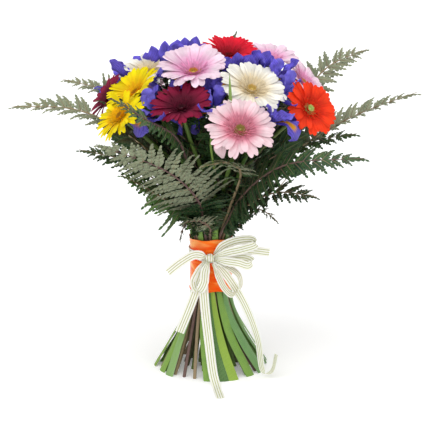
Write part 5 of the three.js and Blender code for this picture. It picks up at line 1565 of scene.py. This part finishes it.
def lay_ribbon(name, cloth, points, ends, share, steps=48):
    """One ribbon of the bow along the smooth path through the points: a closed thin blade whose width points
    the first of the ends' two ways at its start and the second at its end, and is gathered to the share of
    itself at each place."""
    t = np.linspace(0, 1, steps)
    middle = smooth_path(points, t)
    first, last = (np.array(way, float) for way in ends)
    across, up = crosswise(middle, first + (last - first) * t[:, None])
    half = sizes().ribbon_width / MM / 2 * share(t)
    pleat = 0.5 * (1 - share(t))[:, None]

    def rise(a):
        return (0.25 * np.sin(t[:, None] * 23) * a + pleat * 3 * np.cos(3 * np.pi * a))[None]

    thick = sizes().ribbon_thickness / MM / 2
    part = blades(middle[None], across[None], up[None], half[None], thick, rise, 13, [0.5], (0, 0))
    made = make_piece(name, [part], [cloth], "striped_ribbon", "ribbon_bow", sharp=60)


def make_bow():
    """The ribbon's tails, its loops, its turn round the band and its knot."""
    colour = colours()
    cloth = ribbon_cloth("striped_ribbon_cloth", colour.ribbon, colour.ribbon_stripe, colour.ribbon_edge)

    def at_start(t):
        return np.interp(t, [0, 0.14], [RIBBON_ROOT, 1])

    def at_both_ends(t):
        return np.interp(t, [0, 0.14, 0.86, 1], [RIBBON_ROOT, 1, 1, RIBBON_ROOT])

    def at_knot(t):
        return 0.82 + 0.18 * np.abs(np.sin(np.pi * t))

    for number, (begin, end, points) in enumerate(TAILS, 1):
        lay_ribbon(f"ribbon_tail_{number}", cloth, points, (begin, end), at_start)
    for number, (way, points) in enumerate(LOOPS, 1):
        lay_ribbon(f"ribbon_loop_{number}", cloth, points, (way, way), at_both_ends)
    turn = np.linspace(0, 360, 97)
    sag = 4.5 * np.cos(np.radians(turn)) ** 8
    ring = direction(turn) * (RIBBON_RING_RADIUS + 0.35) + UP * (KNOT[2] + 1.5 - sag)[:, None]
    lay_ribbon("ribbon_wrap", cloth, ring, (UP, UP), at_knot, 120)
    make_knot(cloth)


def make_knot(cloth):
    """The knot: a length of ribbon drawn over the middle of the bow, a short drum of radius cos(lat)^0.6
    whose pleats (1 + 0.07 cos(6 w + 3 lat)) run slantwise over it."""
    sides = 40
    w = 2 * np.pi * np.arange(sides) / sides
    lat = np.linspace(-np.pi / 2 * 0.94, np.pi / 2 * 0.94, 15)[:, None]
    far = np.cos(lat) ** 0.6 * (1 + 0.07 * np.cos(6 * w + 3 * lat)) * (1 + 0.06 * np.cos(9 * lat))
    rings = np.stack(np.broadcast_arrays(np.sin(lat), far * np.sin(w), far * np.cos(w)), axis=-1)
    rings = np.array(KNOT, float) + rings * np.array(KNOT_SIZE, float) * [0.68, 0.9, 0.72]
    grow = np.stack(np.broadcast_arrays(0.86 * np.sin(lat), 0.5 + 0.5 * np.cos(w), 0.5), axis=-1)
    part = skins(rings[None], grow[None], np.zeros(sides, int))
    knot = make_piece("ribbon_knot", [part], [cloth], "striped_ribbon", "ribbon_bow", sharp=70)


# Stage


def make_stage():
    """A wide pale floor, three far soft lights, which light it evenly, and the camera where the photograph
    was taken from."""
    scene = bpy.context.scene
    mesh = bpy.data.meshes.new("studio_floor")
    far = 40.0
    mesh.from_pydata([(-far, -far, 0), (far, -far, 0), (far, far, 0), (-far, far, 0)], [], [(0, 1, 2, 3)])
    material = bpy.data.materials.new("white_paper")
    material.use_nodes = True
    shader = material.node_tree.nodes["Principled BSDF"]
    paper = {"Base Color": linear("FCFCFC"), "Roughness": 0.9, "Emission Color": linear("FFFFFF")}
    for key, value in (paper | {"Emission Strength": 0.14}).items():
        shader.inputs[key].default_value = value
    mesh.materials.append(material)
    floor = bpy.data.objects.new("studio_floor", mesh)
    scene.collection.objects.link(floor)
    scene.world = bpy.data.worlds.new("studio")
    scene.world.use_nodes = True
    sky = scene.world.node_tree.nodes["Background"].inputs
    sky["Color"].default_value = (1.0, 1.0, 1.0, 1.0)
    sky["Strength"].default_value = 0.72
    for name, azimuth, elevation, strength, softness in LIGHTS:
        lamp = bpy.data.lights.new(name, "SUN")
        lamp.angle = math.radians(softness)
        lamp.energy = strength
        light = bpy.data.objects.new(name, lamp)
        way = Vector(direction(azimuth, elevation).tolist())
        light.location = way * 2
        light.rotation_euler = (-way).to_track_quat("-Z", "Y").to_euler()
        scene.collection.objects.link(light)
    scene.view_settings.view_transform = "Standard"
    lens = bpy.data.cameras.new("photo_view")
    lens.angle = 2 * math.atan(VIEW_WIDTH / 2 / VIEW_DISTANCE)
    camera = bpy.data.objects.new("photo_view", lens)
    back = Vector(direction(0, VIEW_ELEVATION).tolist())
    camera.location = (Vector(VIEW_TARGET) + back * VIEW_DISTANCE) * MM
    camera.rotation_euler = (-back).to_track_quat("-Z", "Y").to_euler()
    scene.collection.objects.link(camera)
    scene.camera = camera


# Operators and panel


class BOUQUET_OT_stage(bpy.types.Operator):
    """Adds the pale floor, the soft lights and the camera"""

    bl_idname = "bouquet.stage"
    bl_label = "Stage"

    def execute(self, context):
        make_stage()
        return {"FINISHED"}


class BOUQUET_OT_stems(bpy.types.Operator):
    """Adds the cut stems and the iris leaves"""

    bl_idname = "bouquet.stems"
    bl_label = "Stems and Iris Leaves"

    def execute(self, context):
        make_stems()
        return {"FINISHED"}


class BOUQUET_OT_gerberas(bpy.types.Operator):
    """Adds the gerbera blooms"""

    bl_idname = "bouquet.gerberas"
    bl_label = "Gerberas"

    def execute(self, context):
        make_gerberas()
        return {"FINISHED"}


class BOUQUET_OT_irises(bpy.types.Operator):
    """Adds the iris blooms"""

    bl_idname = "bouquet.irises"
    bl_label = "Irises"

    def execute(self, context):
        make_irises()
        return {"FINISHED"}


class BOUQUET_OT_ferns(bpy.types.Operator):
    """Adds the fern fronds"""

    bl_idname = "bouquet.ferns"
    bl_label = "Fern Fronds"

    def execute(self, context):
        make_ferns()
        return {"FINISHED"}


class BOUQUET_OT_band(bpy.types.Operator):
    """Adds the satin band"""

    bl_idname = "bouquet.band"
    bl_label = "Satin Band"

    def execute(self, context):
        make_band()
        return {"FINISHED"}


class BOUQUET_OT_bow(bpy.types.Operator):
    """Adds the ribbon bow"""

    bl_idname = "bouquet.bow"
    bl_label = "Ribbon Bow"

    def execute(self, context):
        make_bow()
        return {"FINISHED"}


STEPS = (
    BOUQUET_OT_stage, BOUQUET_OT_stems, BOUQUET_OT_gerberas, BOUQUET_OT_irises, BOUQUET_OT_ferns,
    BOUQUET_OT_band, BOUQUET_OT_bow,
)


class BOUQUET_PT_panel(bpy.types.Panel):
    """Lists the bouquet's sizes, colours and steps"""

    bl_idname = "BOUQUET_PT_panel"
    bl_label = "Hand-Tied Bouquet"
    bl_space_type = "VIEW_3D"
    bl_region_type = "UI"
    bl_category = "Bouquet"

    def draw(self, context):
        for step in STEPS:
            self.layout.operator(step.bl_idname)
        for group in (context.scene.bouquet_sizes, context.scene.bouquet_colours):
            for key in group.bl_rna.properties.keys():
                if key not in ("rna_type", "name"):
                    self.layout.prop(group, key)


CLASSES = (BouquetSizes, BouquetColours, *STEPS, BOUQUET_PT_panel)


def register():
    """Adds the bouquet's classes, and its sizes and colours to every scene."""
    for item in CLASSES:
        bpy.utils.register_class(item)
    bpy.types.Scene.bouquet_sizes = bpy.props.PointerProperty(type=BouquetSizes)
    bpy.types.Scene.bouquet_colours = bpy.props.PointerProperty(type=BouquetColours)


def unregister():
    """Takes away what register added."""
    del bpy.types.Scene.bouquet_colours
    del bpy.types.Scene.bouquet_sizes
    for item in reversed(CLASSES):
        bpy.utils.unregister_class(item)


def main():
    """Builds the stage and the bouquet."""
    register()
    bpy.ops.bouquet.stage()
    bpy.ops.bouquet.stems()
    bpy.ops.bouquet.gerberas()
    bpy.ops.bouquet.irises()
    bpy.ops.bouquet.ferns()
    bpy.ops.bouquet.band()
    bpy.ops.bouquet.bow()


if __name__ == "__main__":
    main()
